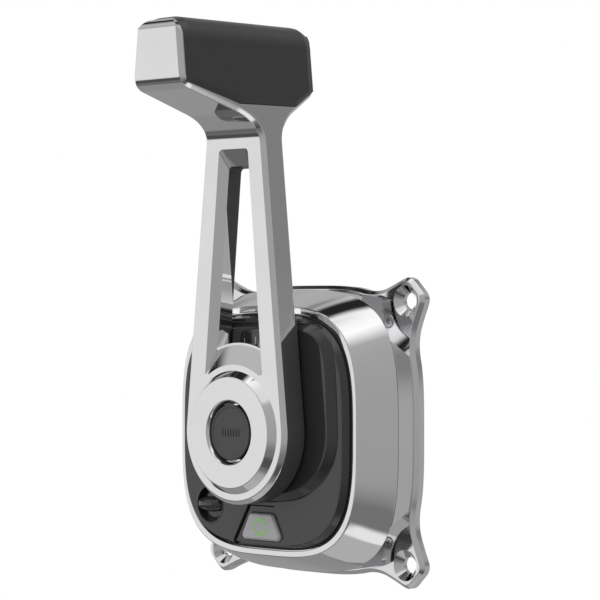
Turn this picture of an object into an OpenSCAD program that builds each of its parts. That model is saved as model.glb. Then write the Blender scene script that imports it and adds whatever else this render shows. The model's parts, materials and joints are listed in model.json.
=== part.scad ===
// Side mount throttle control for a boat's helm, in millimetres.
// The middle of the mounting plate's back is the origin, the front faces -Y and up is +Z.
// Each sub-part is drawn in the panel's own frame: x to the right, y up, z out of the panel.
// facing() then turns it into the model's frame, so every "_z" below is a height above the back face.

/* [Mounting plate] */
// Half width of the plate between its ears
plate_half = 75.7; // [75:0.1:77]
// Thickness of the plate
plate_t = 6; // [5:0.5:7]
// Half of the spacing between the mounting holes
hole_offset = 67.5; // [67:0.1:68]
// Radius of the mounting holes
hole_r = 4.2; // [3.2:0.1:4.6]
// Radius of the countersinks at the front
sink_r = 8; // [7:0.1:8.4]

/* [Pedestal and bezel] */
// Half width of the pedestal
pedestal_half = 73.3; // [72.5:0.1:73.5]
// Height of the pedestal's front edge
pedestal_z = 17; // [16:0.1:17]
// Half width of the bezel at its back edge
bezel_back_half = 73.5; // [73:0.1:75]
// Height of the bezel's back edge
bezel_back_z = 17.4; // [17.4:0.1:17.8]
// Half width of the bezel at its front rim
bezel_rim_half = 64.7; // [64:0.1:66]
// Width of the bright lip around the front
lip_w = 3.1; // [2.6:0.1:3.3]
// Height of the front rim
bezel_rim_z = 38.9; // [38.5:0.1:39.2]
// Roundness of the outlines, where 2 is an ellipse and large is a square
squareness = 3.4; // [3:0.1:4]

/* [Face and boss] */
// Half width of the black face plate
face_half = 58.6; // [58:0.1:59]
// Height of the face plate's front
face_z = 42.9; // [42.5:0.1:43]
// Height of the raised boss in front of the face
boss_z = 46.7; // [46:0.1:46.7]
// Half width of the boss at its foot
boss_half = 55.6; // [54:0.1:56]
// Width of the sloping edge around the boss
boss_slope = 4; // [4:0.5:5.5]

/* [Lever] */
// Radius of the lever around its axis
hub_r = 37.2; // [36.5:0.1:37.5]
// Height of the lever's back
lever_back_z = 47.2; // [47.2:0.1:47.4]
// Height of the lever's front face
lever_front_z = 62.7; // [62.4:0.1:63]
// Angle that each side of the lever leans inwards
taper = 5.96; // [5.8:0.02:6.1]
// Width of the chamfer along the lever's edges
edge = 2; // [1.5:0.1:2.2]
// Height of the top of the grip above the axis
grip_top = 210; // [208:1:214]
// Foremost end of the grip
grip_front_z = 115.5; // [115:0.5:116]
// Rearmost end of the grip
grip_back_z = 21.7; // [21.5:0.1:22.5]
// Thickness of the rubber on the grip
rubber_t = 2.6; // [2:0.1:3]

/* [Hub] */
// Radius of the bright ring at its foot
ring_foot_r = 31.7; // [31:0.1:32]
// Radius of the bright ring's flat front
ring_top_r = 28.5; // [28:0.1:29]
// Height of the bright ring's front
ring_z = 66.2; // [66:0.1:66.6]
// Radius of the recess for the release button
recess_r = 16.5; // [16:0.1:17]
// Radius of the release button
cap_r = 14.45; // [14:0.05:15]
// How far the release button can be pressed
cap_travel = 1.5; // [1:0.1:1.6]

/* [Shaft] */
// Radius of the shaft
shaft_r = 9; // [8:0.5:9]
// Radial clearance of the shaft in its bushes
running_gap = 0.05; // [0.03:0.01:0.08]
// Corner radius of the six-sided drive head
drive_r = 15; // [14:0.1:15]

/* [Buttons] */
// Height of the start button's front
start_z = 43.5; // [43.2:0.1:43.8]
// How far the start button can be pressed
start_travel = 1.2; // [0.8:0.1:1.3]
// Distance of the safety switch to the left of the axis
switch_x = -38.4; // [-39:0.1:-38]
// Distance of the safety switch above the axis
switch_y = -39.7; // [-40.5:0.1:-39.5]
// Radius of the safety switch's bowl
bowl_r = 10.4; // [10:0.1:10.6]

/* [Hidden] */
$fn = 64;
outline_points = 96;
chrome = [0.80, 0.80, 0.81];
steel = [0.62, 0.63, 0.65];
gloss_black = [0.08, 0.08, 0.085];
soft_black = [0.13, 0.135, 0.13];
rubber_black = [0.10, 0.10, 0.10];
cap_grey = [0.22, 0.22, 0.225];
bronze = [0.62, 0.48, 0.28];
board_green = [0.05, 0.30, 0.16];
lens_white = [0.93, 0.94, 0.95];
icon_green = [0.33, 0.72, 0.13];
button_grey = [0.60, 0.60, 0.61];
eps = 0.1;
corners = [[1, 1], [1, -1], [-1, -1], [-1, 1]];

// General helpers

// Turns a sub-part from the panel's frame into the model's frame
module facing() rotate([90, 0, 0]) children();

// A layer of the given outline between two heights
module layer(low, high) translate([0, 0, low]) linear_extrude(high - low) children();

// A straight or conical round piece between two heights
module turned(low, high, r1, r2 = undef) {
    translate([0, 0, low]) cylinder(h = high - low, r1 = r1, r2 = is_undef(r2) ? r1 : r2);
}

// A ring between two radii and two heights
module ring(low, high, inner, outer) {
    difference() {
        turned(low, high, outer);
        turned(low - eps, high + eps, inner);
    }
}

// Distance from the centre to a rounded square's edge at angle a
function squircle_r(half, a, n) = half / pow(pow(abs(cos(a)), n) + pow(abs(sin(a)), n), 1 / n);

// Outline of a rounded square, anticlockwise
function squircle(half, n = squareness) = [for (i = [0:outline_points - 1])
    let (a = 360 * i / outline_points) squircle_r(half, a, n) * [cos(a), sin(a)]];

// Points on an arc
function arc(centre, r, from, to, steps) = [for (i = [0:steps])
    let (a = from + (to - from) * i / steps) centre + r * [cos(a), sin(a)]];

// Points on a curve from a to c that is pulled towards b
function bend(a, b, c, steps) = [for (i = [0:steps])
    let (t = i / steps) (1 - t) * (1 - t) * a + 2 * t * (1 - t) * b + t * t * c];

// Lifts an outline to a height
function at_height(outline, z) = [for (p = outline) [p[0], p[1], z]];

// The unit vector to the right of the direction from a to b, which points out of the outline
function outward(a, b) = let (d = b - a, l = norm(d)) [d[1] / l, -d[0] / l];

// An anticlockwise outline moved inwards by d
function inset(outline, d) = let (n = len(outline)) [for (i = [0:n - 1])
    let (n1 = outward(outline[(i + n - 1) % n], outline[i]),
        n2 = outward(outline[i], outline[(i + 1) % n]),
        m = n1 + n2) outline[i] - 2 * d * m / (m * m)];

// The side walls of a stack of outlines that all have the same number of points
function walls(count, n, wrap) = [for (k = [0:count - (wrap ? 1 : 2)], i = [0:n - 1], half = [0, 1])
    let (a = k * n, b = ((k + 1) % count) * n, j = (i + 1) % n)
    half == 0 ? [a + i, b + i, b + j] : [a + i, b + j, a + j]];

// A closed solid through a stack of outlines
module loft(rings) {
    n = len(rings[0]);
    count = len(rings);
    top = (count - 1) * n;
    polyhedron(points = [for (r = rings) each r], faces = concat(walls(count, n, false),
        [[for (i = [0:n - 1]) i]], [[for (i = [n - 1:-1:0]) top + i]]));
}

// A hollow frame through a closed loop of outlines
module loft_frame(rings) {
    polyhedron(points = [for (r = rings) each r], faces = walls(len(rings), len(rings[0]), true));
}

// Mounting plate

// One eighth of the plate's outline, from the middle of the top edge to the tip of the ear
ear_start = 40;
ear = [[46, 72.7], [52, 73.6], [59, 76.2], [65.5, 79], [68.4, 79.5], [70.9, 78.7], [72.6, 77.3]];
eighth = concat([for (i = [0:7]) let (x = ear_start * i / 7)
    [x, pow(pow(plate_half, squareness) - pow(x, squareness), 1 / squareness)]], ear);
quarter = concat(eighth, [for (i = [len(eighth) - 1:-1:1]) [eighth[i][1], eighth[i][0]]]);
plate_points = [for (k = [0:3], p = quarter)
    let (a = -90 * k) [p[0] * cos(a) - p[1] * sin(a), p[0] * sin(a) + p[1] * cos(a)]];
plate_edge = 1.5;
frame_screw_offset = 69.6;
plate_screw_at = [56, 57];
gasket_outer = 64;
gasket_inner = 56;
gasket_t = 1.2;
socket_y = -38;
socket_r = 11;
pin_r = 0.75;

// The four places around the middle where the housing's screws sit
module on_sides(offset) for (a = [0:90:270]) rotate(a) translate([offset, 0]) children();

// The four corners of a rectangle
module on_corners(x, y) for (c = corners) translate([c[0] * x, c[1] * y]) children();

module base_plate() color(chrome) facing() difference() {
    union() {
        layer(0, plate_t - plate_edge) polygon(plate_points);
        translate([0, 0, plate_t - plate_edge])
            linear_extrude(plate_edge, scale = 1 - plate_edge / plate_half) polygon(plate_points);
    }
    on_corners(hole_offset, hole_offset) {
        turned(-eps, plate_t + eps, hole_r);
        turned(plate_t - (sink_r - hole_r), plate_t + eps, hole_r, sink_r + eps);
    }
    on_corners(plate_screw_at[0], plate_screw_at[1]) {
        turned(-eps, plate_t + eps, 2);
        turned(plate_t - 1.6, plate_t + eps, 2, 3.7);
    }
    on_sides(frame_screw_offset) {
        turned(-eps, plate_t + eps, 1.6);
        turned(-eps, 1.8, 3.3, 1.6);
    }
    on_corners(30, 30) {
        turned(-eps, plate_t + eps, 1.6);
        turned(-eps, 1.8, 3.3, 1.6);
    }
    translate([0, socket_y]) turned(-eps, plate_t + eps, socket_r);
    layer(-eps, gasket_t) difference() {
        circle(gasket_outer);
        circle(gasket_inner);
    }
}

module mounting_gasket() color(rubber_black) facing() ring(0, gasket_t, gasket_inner, gasket_outer);

module plate_screws() color(chrome) facing() on_corners(plate_screw_at[0], plate_screw_at[1]) {
    turned(0.6, plate_t - 1.6, 1.95);
    difference() {
        union() {
            turned(plate_t - 1.6, plate_t, 1.95, 3.6);
            turned(plate_t, plate_t + 0.5, 3.6, 3.2);
        }
        translate([0, 0, plate_t - 0.6]) cylinder(h = 2, r = 1.5, $fn = 6);
    }
}

module housing_screws() color(steel) facing() on_sides(frame_screw_offset) {
    turned(1.8, bezel_back_z + 1.6, 1.5);
    difference() {
        turned(0.2, 1.8, 2.9, 1.5);
        layer(0, 1) square([0.8, 4], center = true);
    }
}

// Pedestal

scoop_low_r = 28.7;
scoop_high_r = 20;
wall_t = 6.6;

module scoops(extra) on_corners(hole_offset, hole_offset)
    turned(plate_t - eps, bezel_back_z + 0.2, scoop_low_r + extra, scoop_high_r + extra);

module pedestal() color(chrome) facing() difference() {
    layer(plate_t, pedestal_z) polygon(squircle(pedestal_half));
    scoops(0);
    difference() {
        layer(plate_t - eps, pedestal_z + eps) polygon(squircle(pedestal_half - wall_t));
        scoops(3);
    }
    on_sides(frame_screw_offset) turned(plate_t - eps, pedestal_z + eps, 1.6);
}

module housing_seal() color(rubber_black) facing() layer(pedestal_z, bezel_back_z) difference() {
    polygon(squircle(pedestal_half - 0.5));
    polygon(squircle(pedestal_half - 3));
    on_corners(hole_offset, hole_offset) circle(scoop_high_r + 0.3);
    on_sides(frame_screw_offset) circle(1.6);
}

// Bezel

ledge_z = 35;
ledge_half = 55.8;
lens_x = 22.6;
lens_size = [4.7, 2.4];
lens_y = 62;

module on_lenses() for (side = [-1, 1]) translate([side * lens_x, lens_y]) children();

module bezel() color(chrome) facing() difference() {
    loft_frame([
        at_height(squircle(bezel_back_half), bezel_back_z),
        at_height(squircle(bezel_rim_half), bezel_rim_z),
        at_height(squircle(bezel_rim_half - lip_w), bezel_rim_z),
        at_height(squircle(bezel_rim_half - lip_w), ledge_z),
        at_height(squircle(ledge_half), ledge_z),
        at_height(squircle(ledge_half), ledge_z - 2.5),
        at_height(squircle(68), bezel_back_z + 2),
        at_height(squircle(50), bezel_back_z + 2),
        at_height(squircle(50), bezel_back_z)]);
    on_lenses() layer(bezel_rim_z - 3, bezel_rim_z + eps) square(lens_size, center = true);
    on_sides(frame_screw_offset) turned(bezel_back_z - eps, bezel_back_z + 2, 1.55);
}

module indicator_lenses() color(lens_white) facing() on_lenses()
    layer(bezel_rim_z - 2.9, bezel_rim_z + 0.1) square(lens_size - [0.1, 0.1], center = true);

// Face plate

flange_half = 61.2;
flange_top_z = 37.7;
flange_z = 35.5;
face_inner_half = 53.5;
face_skin_z = 40.4;
barrel_r = 20;

// The start button's own outline and the plate around it
button_points = [[7.6, -42.4], [-7.6, -42.4], [-8.9, -43.4], [-14, -53.4], [-13.9, -55.2], [-12.4, -56.6],
    [12.4, -56.6], [13.9, -55.2], [14, -53.4], [8.9, -43.4]];
surround_points = [[9.6, -38.4], [-9.6, -38.4], [-21.9, -59.6], [21.9, -59.6]];

module face_plate() color(gloss_black) facing() difference() {
    union() {
        loft([at_height(squircle(face_half), flange_z), at_height(squircle(face_half), face_z - 0.8),
            at_height(squircle(face_half - 0.8), face_z)]);
        layer(flange_z, flange_top_z) polygon(squircle(flange_half));
    }
    layer(flange_z - eps, face_skin_z) polygon(squircle(face_inner_half));
    turned(flange_z, face_z + eps, barrel_r + 0.1);
    layer(flange_top_z, face_z + eps) polygon(surround_points);
    layer(flange_z - eps, face_z) polygon(inset(button_points, -0.4));
    translate([switch_x, switch_y]) turned(flange_z, face_z + eps, bowl_r);
}

module face_seal() color(rubber_black) facing() layer(ledge_z, flange_z) difference() {
    polygon(squircle(flange_half));
    polygon(squircle(ledge_half));
}

// Boss behind the lever

boss_mid = 2;
boss_up = 55;
boss_down = 38.4;
boss_lean = 0.05;

// Half a rounded outline above or below the boss's middle line
function boss_outline(d) = [for (i = [0:outline_points - 1])
    let (a = 360 * i / outline_points, top = sin(a) >= 0, n = top ? 6 : 2.45,
        y = sign(sin(a)) * pow(abs(sin(a)), 2 / n) * ((top ? boss_up : boss_down) - d),
        x = sign(cos(a)) * pow(abs(cos(a)), 2 / n) * (boss_half - d))
    [x * (1 - (top ? boss_lean * y / boss_half : 0)), boss_mid + y]];

module boss_cover() color(gloss_black) facing() difference() {
    loft([at_height(boss_outline(0), face_z), at_height(boss_outline(0.3), face_z + 0.5),
        at_height(boss_outline(boss_slope - 0.4), boss_z - 0.3), at_height(boss_outline(boss_slope), boss_z)]);
    difference() {
        layer(face_z - eps, boss_z - 2.5) polygon(boss_outline(boss_slope + 2.5));
        turned(face_z - 1, boss_z, barrel_r + 4);
    }
    turned(face_z - eps, boss_z - 3.4, barrel_r - 4);
    turned(face_z, boss_z + eps, 12);
}

// Bearings and the parts inside

carrier_z = 24;
barrel_z = 42.8;
leg_offset = 30;
bush_r = 13;
seal_z = 44.2;
disc_low_z = 17;
disc_high_z = 21;
disc_r = 26;
board_z = 8;
board_t = 1.6;
board_half = 23.5;
board_low = -24;
board_high = 46;
magnet_low_z = 11.4;
shaft_low_z = 12.6;
plunger_y = -30;

module bearing_carrier() color(steel) facing() difference() {
    union() {
        turned(carrier_z, barrel_z, barrel_r);
        turned(carrier_z, carrier_z + 4, 46);
        on_corners(leg_offset, leg_offset) turned(plate_t, carrier_z + 1, 4.6);
        layer(14, carrier_z + 1) translate([0, plunger_y - 4]) square([13, 13], center = true);
    }
    turned(carrier_z - eps, barrel_z + eps, bush_r);
    on_corners(leg_offset, leg_offset) turned(plate_t - eps, plate_t + 12, 1.55);
    translate([0, plunger_y + 4, (disc_low_z + disc_high_z) / 2]) rotate([90, 0, 0])
        cylinder(h = 13, r = 2.6);
}

module carrier_screws() color(steel) facing() on_corners(leg_offset, leg_offset) {
    turned(1.8, plate_t + 11, 1.5);
    difference() {
        turned(0.2, 1.8, 2.9, 1.5);
        layer(0, 1) square([0.8, 4], center = true);
    }
}

module shaft_bushes() color(bronze) facing() for (low = [carrier_z + 0.6, barrel_z - 8.6])
    ring(low, low + 8, shaft_r + running_gap, bush_r);

module shaft_seal() color(rubber_black) facing() ring(seal_z, boss_z - 0.2, shaft_r + 0.3, 12);

module friction_washer() color(bronze) facing() ring(disc_high_z + 0.4, carrier_z, shaft_r + 0.4, 15);

module detent_plunger() color(steel) facing()
    translate([0, plunger_y + 2.9, (disc_low_z + disc_high_z) / 2]) rotate([90, 0, 0]) {
    translate([0, 0, 2.2]) cylinder(h = 4, r = 2.5);
    translate([0, 0, 2.2]) sphere(r = 2.2, $fn = 32);
}

module detent_spring() color(steel) facing()
    translate([0, plunger_y - 3.4, (disc_low_z + disc_high_z) / 2]) rotate([90, 0, 0])
    difference() {
        cylinder(h = 5, r = 2.3);
        translate([0, 0, -eps]) cylinder(h = 6, r = 1.5);
    }

module circuit_board() color(board_green) facing() difference() {
    layer(board_z, board_z + board_t) translate([-board_half, board_low])
        square([2 * board_half, board_high - board_low]);
    for (x = [-19, 19], y = [-20, 42]) translate([x, y]) turned(board_z - eps, board_z + board_t + eps, 1.5);
}

module board_spacers() color(steel) facing() for (x = [-19, 19], y = [-20, 42])
    translate([x, y]) ring(plate_t, board_z, 1.5, 3);

module board_screws() color(steel) facing() for (x = [-19, 19], y = [-20, 42]) translate([x, y]) {
    turned(plate_t, board_z + board_t, 1.4);
    turned(board_z + board_t, board_z + board_t + 1.4, 2.6);
}

module angle_sensor() color(gloss_black) facing()
    layer(board_z + board_t, board_z + board_t + 1) square([6, 5], center = true);

module indicator_lamps() color(lens_white) facing() for (side = [-1, 1])
    layer(board_z + board_t, board_z + board_t + 1.4) translate([side * 12, 38]) square([3.4, 3], center = true);

module connector_shell() color(gloss_black) facing() translate([0, socket_y]) difference() {
    union() {
        turned(0.4, 13, socket_r);
        turned(plate_t, plate_t + 2, socket_r + 2.5);
    }
    turned(0.4 - eps, 11, 8.6);
    on_pins() turned(10, 14, pin_r);
}

module on_pins() for (a = [0:60:359]) rotate(a) translate([4.8, 0]) children();

module connector_pins() color(bronze) facing() translate([0, socket_y]) on_pins()
    turned(2.5, 13.6, pin_r - 0.01);

module start_surround() color(gloss_black) facing() difference() {
    intersection() {
        layer(flange_top_z, face_z - 0.5) polygon(inset(surround_points, 0.6));
        layer(flange_top_z, face_z) polygon(squircle(face_half));
    }
    layer(flange_top_z - eps, face_z) polygon(inset(button_points, -0.4));
}

module start_switch() color(soft_black) facing() translate([0, -49.5]) {
    layer(carrier_z + 4, 30) square([26, 12], center = true);
    turned(30, 32.5, 3);
}

module safety_bowl() color(gloss_black) facing() translate([switch_x, switch_y]) difference() {
    union() {
        turned(flange_z, face_z + 0.2, bowl_r);
        turned(flange_z - 3, flange_z, bowl_r - 1.5);
        turned(flange_z - 6, flange_z - 3, 6);
    }
    turned(37.4, face_z + 1, bowl_r - 0.9);
    turned(flange_z - 7, face_z, 2.8);
}

module safety_switch() color(soft_black) facing() translate([switch_x, switch_y])
    layer(carrier_z + 1.3, flange_z - 6) square([12.6, 12.6], center = true);

// Shaft

module shaft() color(steel) facing() difference() {
    union() {
        turned(shaft_low_z, lever_back_z + 0.8, shaft_r);
        translate([0, 0, lever_back_z + 0.8]) cylinder(h = 8.2, r = drive_r, $fn = 6);
    }
    turned(lever_back_z + 1, lever_front_z, 5.6);
    difference() {
        turned(15.4, 16.6, shaft_r + 1);
        turned(15, 17, shaft_r - 1);
    }
}

module detent_disc() color(steel) facing() difference() {
    turned(disc_low_z, disc_high_z, disc_r);
    turned(disc_low_z - eps, disc_high_z + eps, shaft_r);
    for (a = [-50, 0, 70]) rotate(a) translate([0, -disc_r - 0.4]) turned(disc_low_z - eps, disc_high_z + eps, 2.7);
}

module sensor_magnet() color(soft_black) facing() turned(magnet_low_z, shaft_low_z, 4);

module retaining_clip() color(steel) facing() difference() {
    ring(15.5, 16.5, shaft_r - 0.9, shaft_r + 2.4);
    layer(15, 17) translate([-3, 0]) square([6, 14]);
}

// Lever

// Half width of the lever at height y above its axis
function lever_half(y) = (hub_r - y * sin(taper)) / cos(taper);

// Half width of the slot through the lever at height y, at its front edge
function slot_half(y) = 10.6 + 0.0894 * (145.4 - y);

// Side outline of the arm and grip, as height above the axis and height above the panel
arm_foot = hub_r * sin(taper);
arm_side = concat(
    [[arm_foot, lever_back_z]],
    bend([148, lever_back_z], [158.6, lever_back_z], [165.2, 36.5], 8),
    bend([172.2, 25.8], [174.6, grip_back_z], [180, grip_back_z], 3),
    arc([204, grip_back_z + 6], 6, -90, 0, 4),
    arc([204, grip_front_z - 6], 6, 0, 90, 4),
    bend([179.4, grip_front_z], [173.4, grip_front_z], [171.2, 109.5], 4),
    bend([163.9, 79.4], [160.2, lever_front_z], [151, lever_front_z], 8),
    [[arm_foot, lever_front_z]]);

// Front outline of the arm and the grip's rounded top
module arm_front() {
    top_r = 9;
    lean = lever_half(grip_top - top_r) - top_r;
    start = grip_top - top_r + 0.05;
    polygon(concat([[-lever_half(arm_foot), arm_foot], [lever_half(arm_foot), arm_foot]],
        arc([lean, start], top_r, 0, 90, 8), arc([-lean, start], top_r, 90, 180, 8)));
}

// The arm and grip as one block: the front outline meets the side outline
module arm_block() intersection() {
    layer(0, 130) arm_front();
    rotate([90, 0, 90]) translate([0, 0, -40]) linear_extrude(80) polygon(arm_side);
}

// The material that the chamfers take off the arm's long edges
module arm_chamfers() for (side = [0, 1]) mirror([side, 0, 0])
    translate([lever_half(0), 0, lever_front_z]) rotate(taper) rotate([-90, 0, 0]) {
        depth = lever_front_z - lever_back_z;
        translate([0, 0, hub_r * tan(taper)]) linear_extrude(147)
            polygon([[-edge - 1, -1], [1, -1], [1, edge + 1]]);
        translate([0, 0, 60]) linear_extrude(84)
            polygon([[-edge, depth + 1], [1, depth + 1], [1, depth - edge]]);
    }

// The outline of the slot, grown by d and narrowed by n
function slot_outline(d, n, foot, top) = let (r = 2 + max(d, 0), a = slot_half(top) - n + d, b = slot_half(foot) - n + d)
    concat([[-b, foot], [b, foot]], arc([a - r, top + d - r], r, 0, 90, 4), arc([r - a, top + d - r], r, 90, 180, 4));

module slot_block(d, foot) loft([
    at_height(slot_outline(d, 3.4, foot, 136), lever_back_z - eps),
    at_height(slot_outline(d, 2.9, foot, 136.8), lever_front_z - 5),
    at_height(slot_outline(d, 0, foot, 145.4), lever_front_z + eps)]);

// The cone that closes the bottom of the slot
module web_cone() {
    turned(lever_front_z - 3.4, lever_front_z + 2 * eps, 44.6, 34.4);
    turned(lever_back_z - 1, lever_front_z - 3.4, 46);
}

cover_front_z = 60.4;
cover_low_r = 65.3;
cover_high_r = 56.6;

// The space behind the front of the hub that the dark back cover fills
module cover_space() difference() {
    turned(lever_back_z - eps, cover_front_z, cover_low_r, cover_high_r);
    slot_block(4, 28);
}

// The space that the grip's rubber fills, seen from the side and around the core
module rubber_space() {
    difference() {
        rotate([90, 0, 90]) translate([0, 0, -40]) linear_extrude(80)
            polygon([[176.2, 112.7], [168.8, 84.3], [166.8, 77.2], [167.2, 37.3], [176.1, 23.1],
                [215, 23.1], [215, 112.7]]);
        layer(0, 130) polygon([[-lever_half(150) + rubber_t, 150], [lever_half(150) - rubber_t, 150],
            [lever_half(grip_top) - rubber_t, grip_top - rubber_t],
            [rubber_t - lever_half(grip_top), grip_top - rubber_t]]);
    }
}

module lever_arm() color(chrome) facing() difference() {
    union() {
        arm_block();
        turned(cover_front_z, lever_front_z - edge, hub_r);
        turned(lever_front_z - edge, lever_front_z, hub_r, hub_r - edge);
    }
    cover_space();
    difference() {
        slot_block(0, 26);
        web_cone();
    }
    rubber_space();
    arm_chamfers();
    turned(cover_front_z - 20, lever_front_z + eps, 20);
    on_socket_screws() turned(cover_front_z - eps, lever_front_z - 0.9, 1.6);
}

module lever_back_cover() color(soft_black) facing() difference() {
    union() {
        turned(lever_back_z + 1, cover_front_z, hub_r);
        turned(lever_back_z, lever_back_z + 1, hub_r - 1, hub_r);
        layer(lever_back_z, cover_front_z) polygon([[lever_half(arm_foot), arm_foot],
            [lever_half(80), 80], [-lever_half(80), 80], [-lever_half(arm_foot), arm_foot]]);
    }
    difference() {
        turned(lever_back_z - 1, cover_front_z + 1, 100);
        turned(lever_back_z - eps, cover_front_z, cover_low_r, cover_high_r);
    }
    slot_block(4, 28);
    turned(lever_back_z - eps, cover_front_z + eps, 26.2);
}

module on_socket_screws() for (a = [90:120:449]) rotate(a) translate([23, 0]) children();

module drive_socket() color(steel) facing() difference() {
    turned(lever_back_z + 0.6, cover_front_z, 26);
    turned(lever_front_z - 3.8, cover_front_z + eps, 20.1);
    translate([0, 0, lever_back_z]) cylinder(h = 20, r = drive_r + 0.35, $fn = 6);
    for (a = [30:120:359]) rotate(a) translate([0, 0, 54]) rotate([0, 90, 0]) cylinder(h = 21, r = 2.3);
    on_socket_screws() turned(lever_back_z, lever_front_z, 1.6);
}

module socket_screws() color(steel) facing() on_socket_screws()
    turned(lever_back_z + 1.2, lever_front_z - 1, 1.5);

module latch_balls() color(chrome) facing() for (a = [30:120:359]) rotate(a)
    translate([16.2, 0, 54]) sphere(r = 2.25, $fn = 32);

module hub_ring() color(chrome) facing() rotate_extrude($fn = 128)
    polygon([[ring_foot_r, lever_front_z], [ring_top_r, ring_z], [recess_r + 0.4, ring_z],
        [recess_r, ring_z - 0.4], [recess_r, lever_front_z - 2.8], [5.2, lever_front_z - 2.8],
        [5.2, lever_front_z - 3.8], [19.9, lever_front_z - 3.8], [19.9, lever_front_z]]);

module grip_cover() color(soft_black) facing() intersection() {
    arm_block();
    rubber_space();
}

// Release button

cap_z = 65;
cap_back_z = 62.8;

module release_cap() color(cap_grey) facing() {
    turned(cap_back_z, cap_z - 0.4, cap_r);
    turned(cap_z - 0.4, cap_z, cap_r, cap_r - 0.4);
    turned(lever_front_z - 8, cap_back_z, 4.8);
}

module release_spring() color(steel) facing()
    ring(lever_front_z - 2.8, cap_back_z - cap_travel - eps, 10, 12);

// Start button

start_back_z = 36.9;
start_stem_z = 34.5;

module start_button() color(button_grey) facing() {
    loft([at_height(button_points, start_back_z), at_height(button_points, start_z - 0.7),
        at_height(inset(button_points, 0.7), start_z)]);
    layer(start_stem_z, start_back_z + 1) translate([0, -49.5]) square([16, 8], center = true);
}

icon_y = -49.6;

module start_icon() color(icon_green) facing() translate([0, icon_y]) {
    layer(start_z, start_z + 0.15) difference() {
        circle(4.5);
        circle(3.7);
        polygon([[0, 0], [-2.6, 6], [2.6, 6]]);
    }
    layer(start_z, start_z + 0.15) translate([-0.4, 1]) square([0.8, 4]);
}

module start_spring() color(steel) facing() translate([0, -49.5]) ring(30, start_stem_z - start_travel - eps, 4.4, 5.6);

// Safety switch

bar_half = 8.2;

module safety_knob() color(gloss_black) facing() translate([switch_x, switch_y]) {
    turned(37.8, 39.8, 8.9);
    turned(30, 37.8, 2.5);
    translate([0, 0, 41.6]) rotate([0, 90, 0]) rotate_extrude()
        polygon(concat([[0, -bar_half], [2.6, -bar_half]],
            [for (i = [1:7]) let (t = -1 + i / 4) [4.1 - 1.5 * t * t, t * bar_half]],
            [[2.6, bar_half], [0, bar_half]]));
}

base_plate();
mounting_gasket();
plate_screws();
housing_screws();
pedestal();
housing_seal();
bezel();
indicator_lenses();
face_plate();
face_seal();
boss_cover();
bearing_carrier();
carrier_screws();
shaft_bushes();
shaft_seal();
friction_washer();
detent_plunger();
detent_spring();
circuit_board();
board_spacers();
board_screws();
angle_sensor();
indicator_lamps();
connector_shell();
connector_pins();
start_surround();
start_switch();
safety_bowl();
safety_switch();
shaft();
detent_disc();
sensor_magnet();
retaining_clip();
lever_arm();
lever_back_cover();
drive_socket();
socket_screws();
latch_balls();
hub_ring();
grip_cover();
release_cap();
release_spring();
start_button();
start_icon();
start_spring();
safety_knob();
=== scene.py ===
"""Looks of a side mount throttle control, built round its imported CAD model.

Sizes are in millimetres in the panel's own frame: x to the right, y up, z out of the panel.
`to_model` turns them into the model's frame in metres, where the front faces -Y and up is +Z.
"""
import json
import logging
import math
from collections.abc import Callable, Iterable
from dataclasses import dataclass, field
from enum import Enum
from functools import reduce

import bmesh
import bpy
import numpy as np
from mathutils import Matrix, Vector


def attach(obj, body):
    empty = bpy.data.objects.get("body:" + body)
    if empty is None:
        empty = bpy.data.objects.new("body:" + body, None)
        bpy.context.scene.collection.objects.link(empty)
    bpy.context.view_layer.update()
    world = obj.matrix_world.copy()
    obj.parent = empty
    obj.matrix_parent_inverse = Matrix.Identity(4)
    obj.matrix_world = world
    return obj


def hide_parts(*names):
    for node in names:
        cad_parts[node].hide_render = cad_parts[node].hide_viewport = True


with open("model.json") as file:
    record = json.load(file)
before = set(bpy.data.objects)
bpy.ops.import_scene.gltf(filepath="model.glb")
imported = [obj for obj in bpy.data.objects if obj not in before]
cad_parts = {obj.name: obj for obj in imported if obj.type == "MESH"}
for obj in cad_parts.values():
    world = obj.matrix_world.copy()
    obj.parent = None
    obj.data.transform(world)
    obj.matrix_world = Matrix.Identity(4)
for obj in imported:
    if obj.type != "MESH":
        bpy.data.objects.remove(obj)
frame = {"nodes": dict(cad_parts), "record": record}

Array = np.ndarray
Object = bpy.types.Object
Socket = bpy.types.NodeSocket
# A place on the panel, or a low and a high value.
Pair = tuple[float, float]
log = logging.getLogger("throttle_control")
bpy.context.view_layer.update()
MM = 0.001

# Points round a square outline, round a small turned piece and round a large one.
FINE = 384
ROUND = 128
BROAD = 256

# Turns points (x, y) over to the other side of the middle.
MIRROR = np.array([-1, 1])

# Places that two pieces share: the mounting holes, the safety switch's bowl, and the corners of the
# black plate round the start button.
HOLE_OFFSET = 67.5
BOWL_AT = (-38.4, -39.7)
BOWL_R = 10.4
SURROUND = ((9.6, -38.4), (-9.6, -38.4), (-21.9, -59.6), (21.9, -59.6))


# Surfaces


@dataclass
class Shell:
    """A surface as points in the panel's frame and arrays of faces with the same number of corners."""

    points: Array
    faces: list[Array]

    def __add__(self, other: "Shell") -> "Shell":
        """Both shells as one."""
        moved = [f + len(self.points) for f in other.faces]
        return Shell(np.concatenate([self.points, other.points]), self.faces + moved)

    def shifted(self, offset: tuple[float, float, float]) -> "Shell":
        """The shell moved by an offset."""
        return Shell(self.points + np.array(offset), self.faces)


def joined(shells: Iterable[Shell]) -> Shell:
    """Several shells as one, in their order."""
    return reduce(Shell.__add__, shells)


def to_model(points: Array) -> Array:
    """Panel millimetres (x, y, z) as model metres (x, -z, y)."""
    return np.stack([points[..., 0], -points[..., 2], points[..., 1]], -1) * MM


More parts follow.
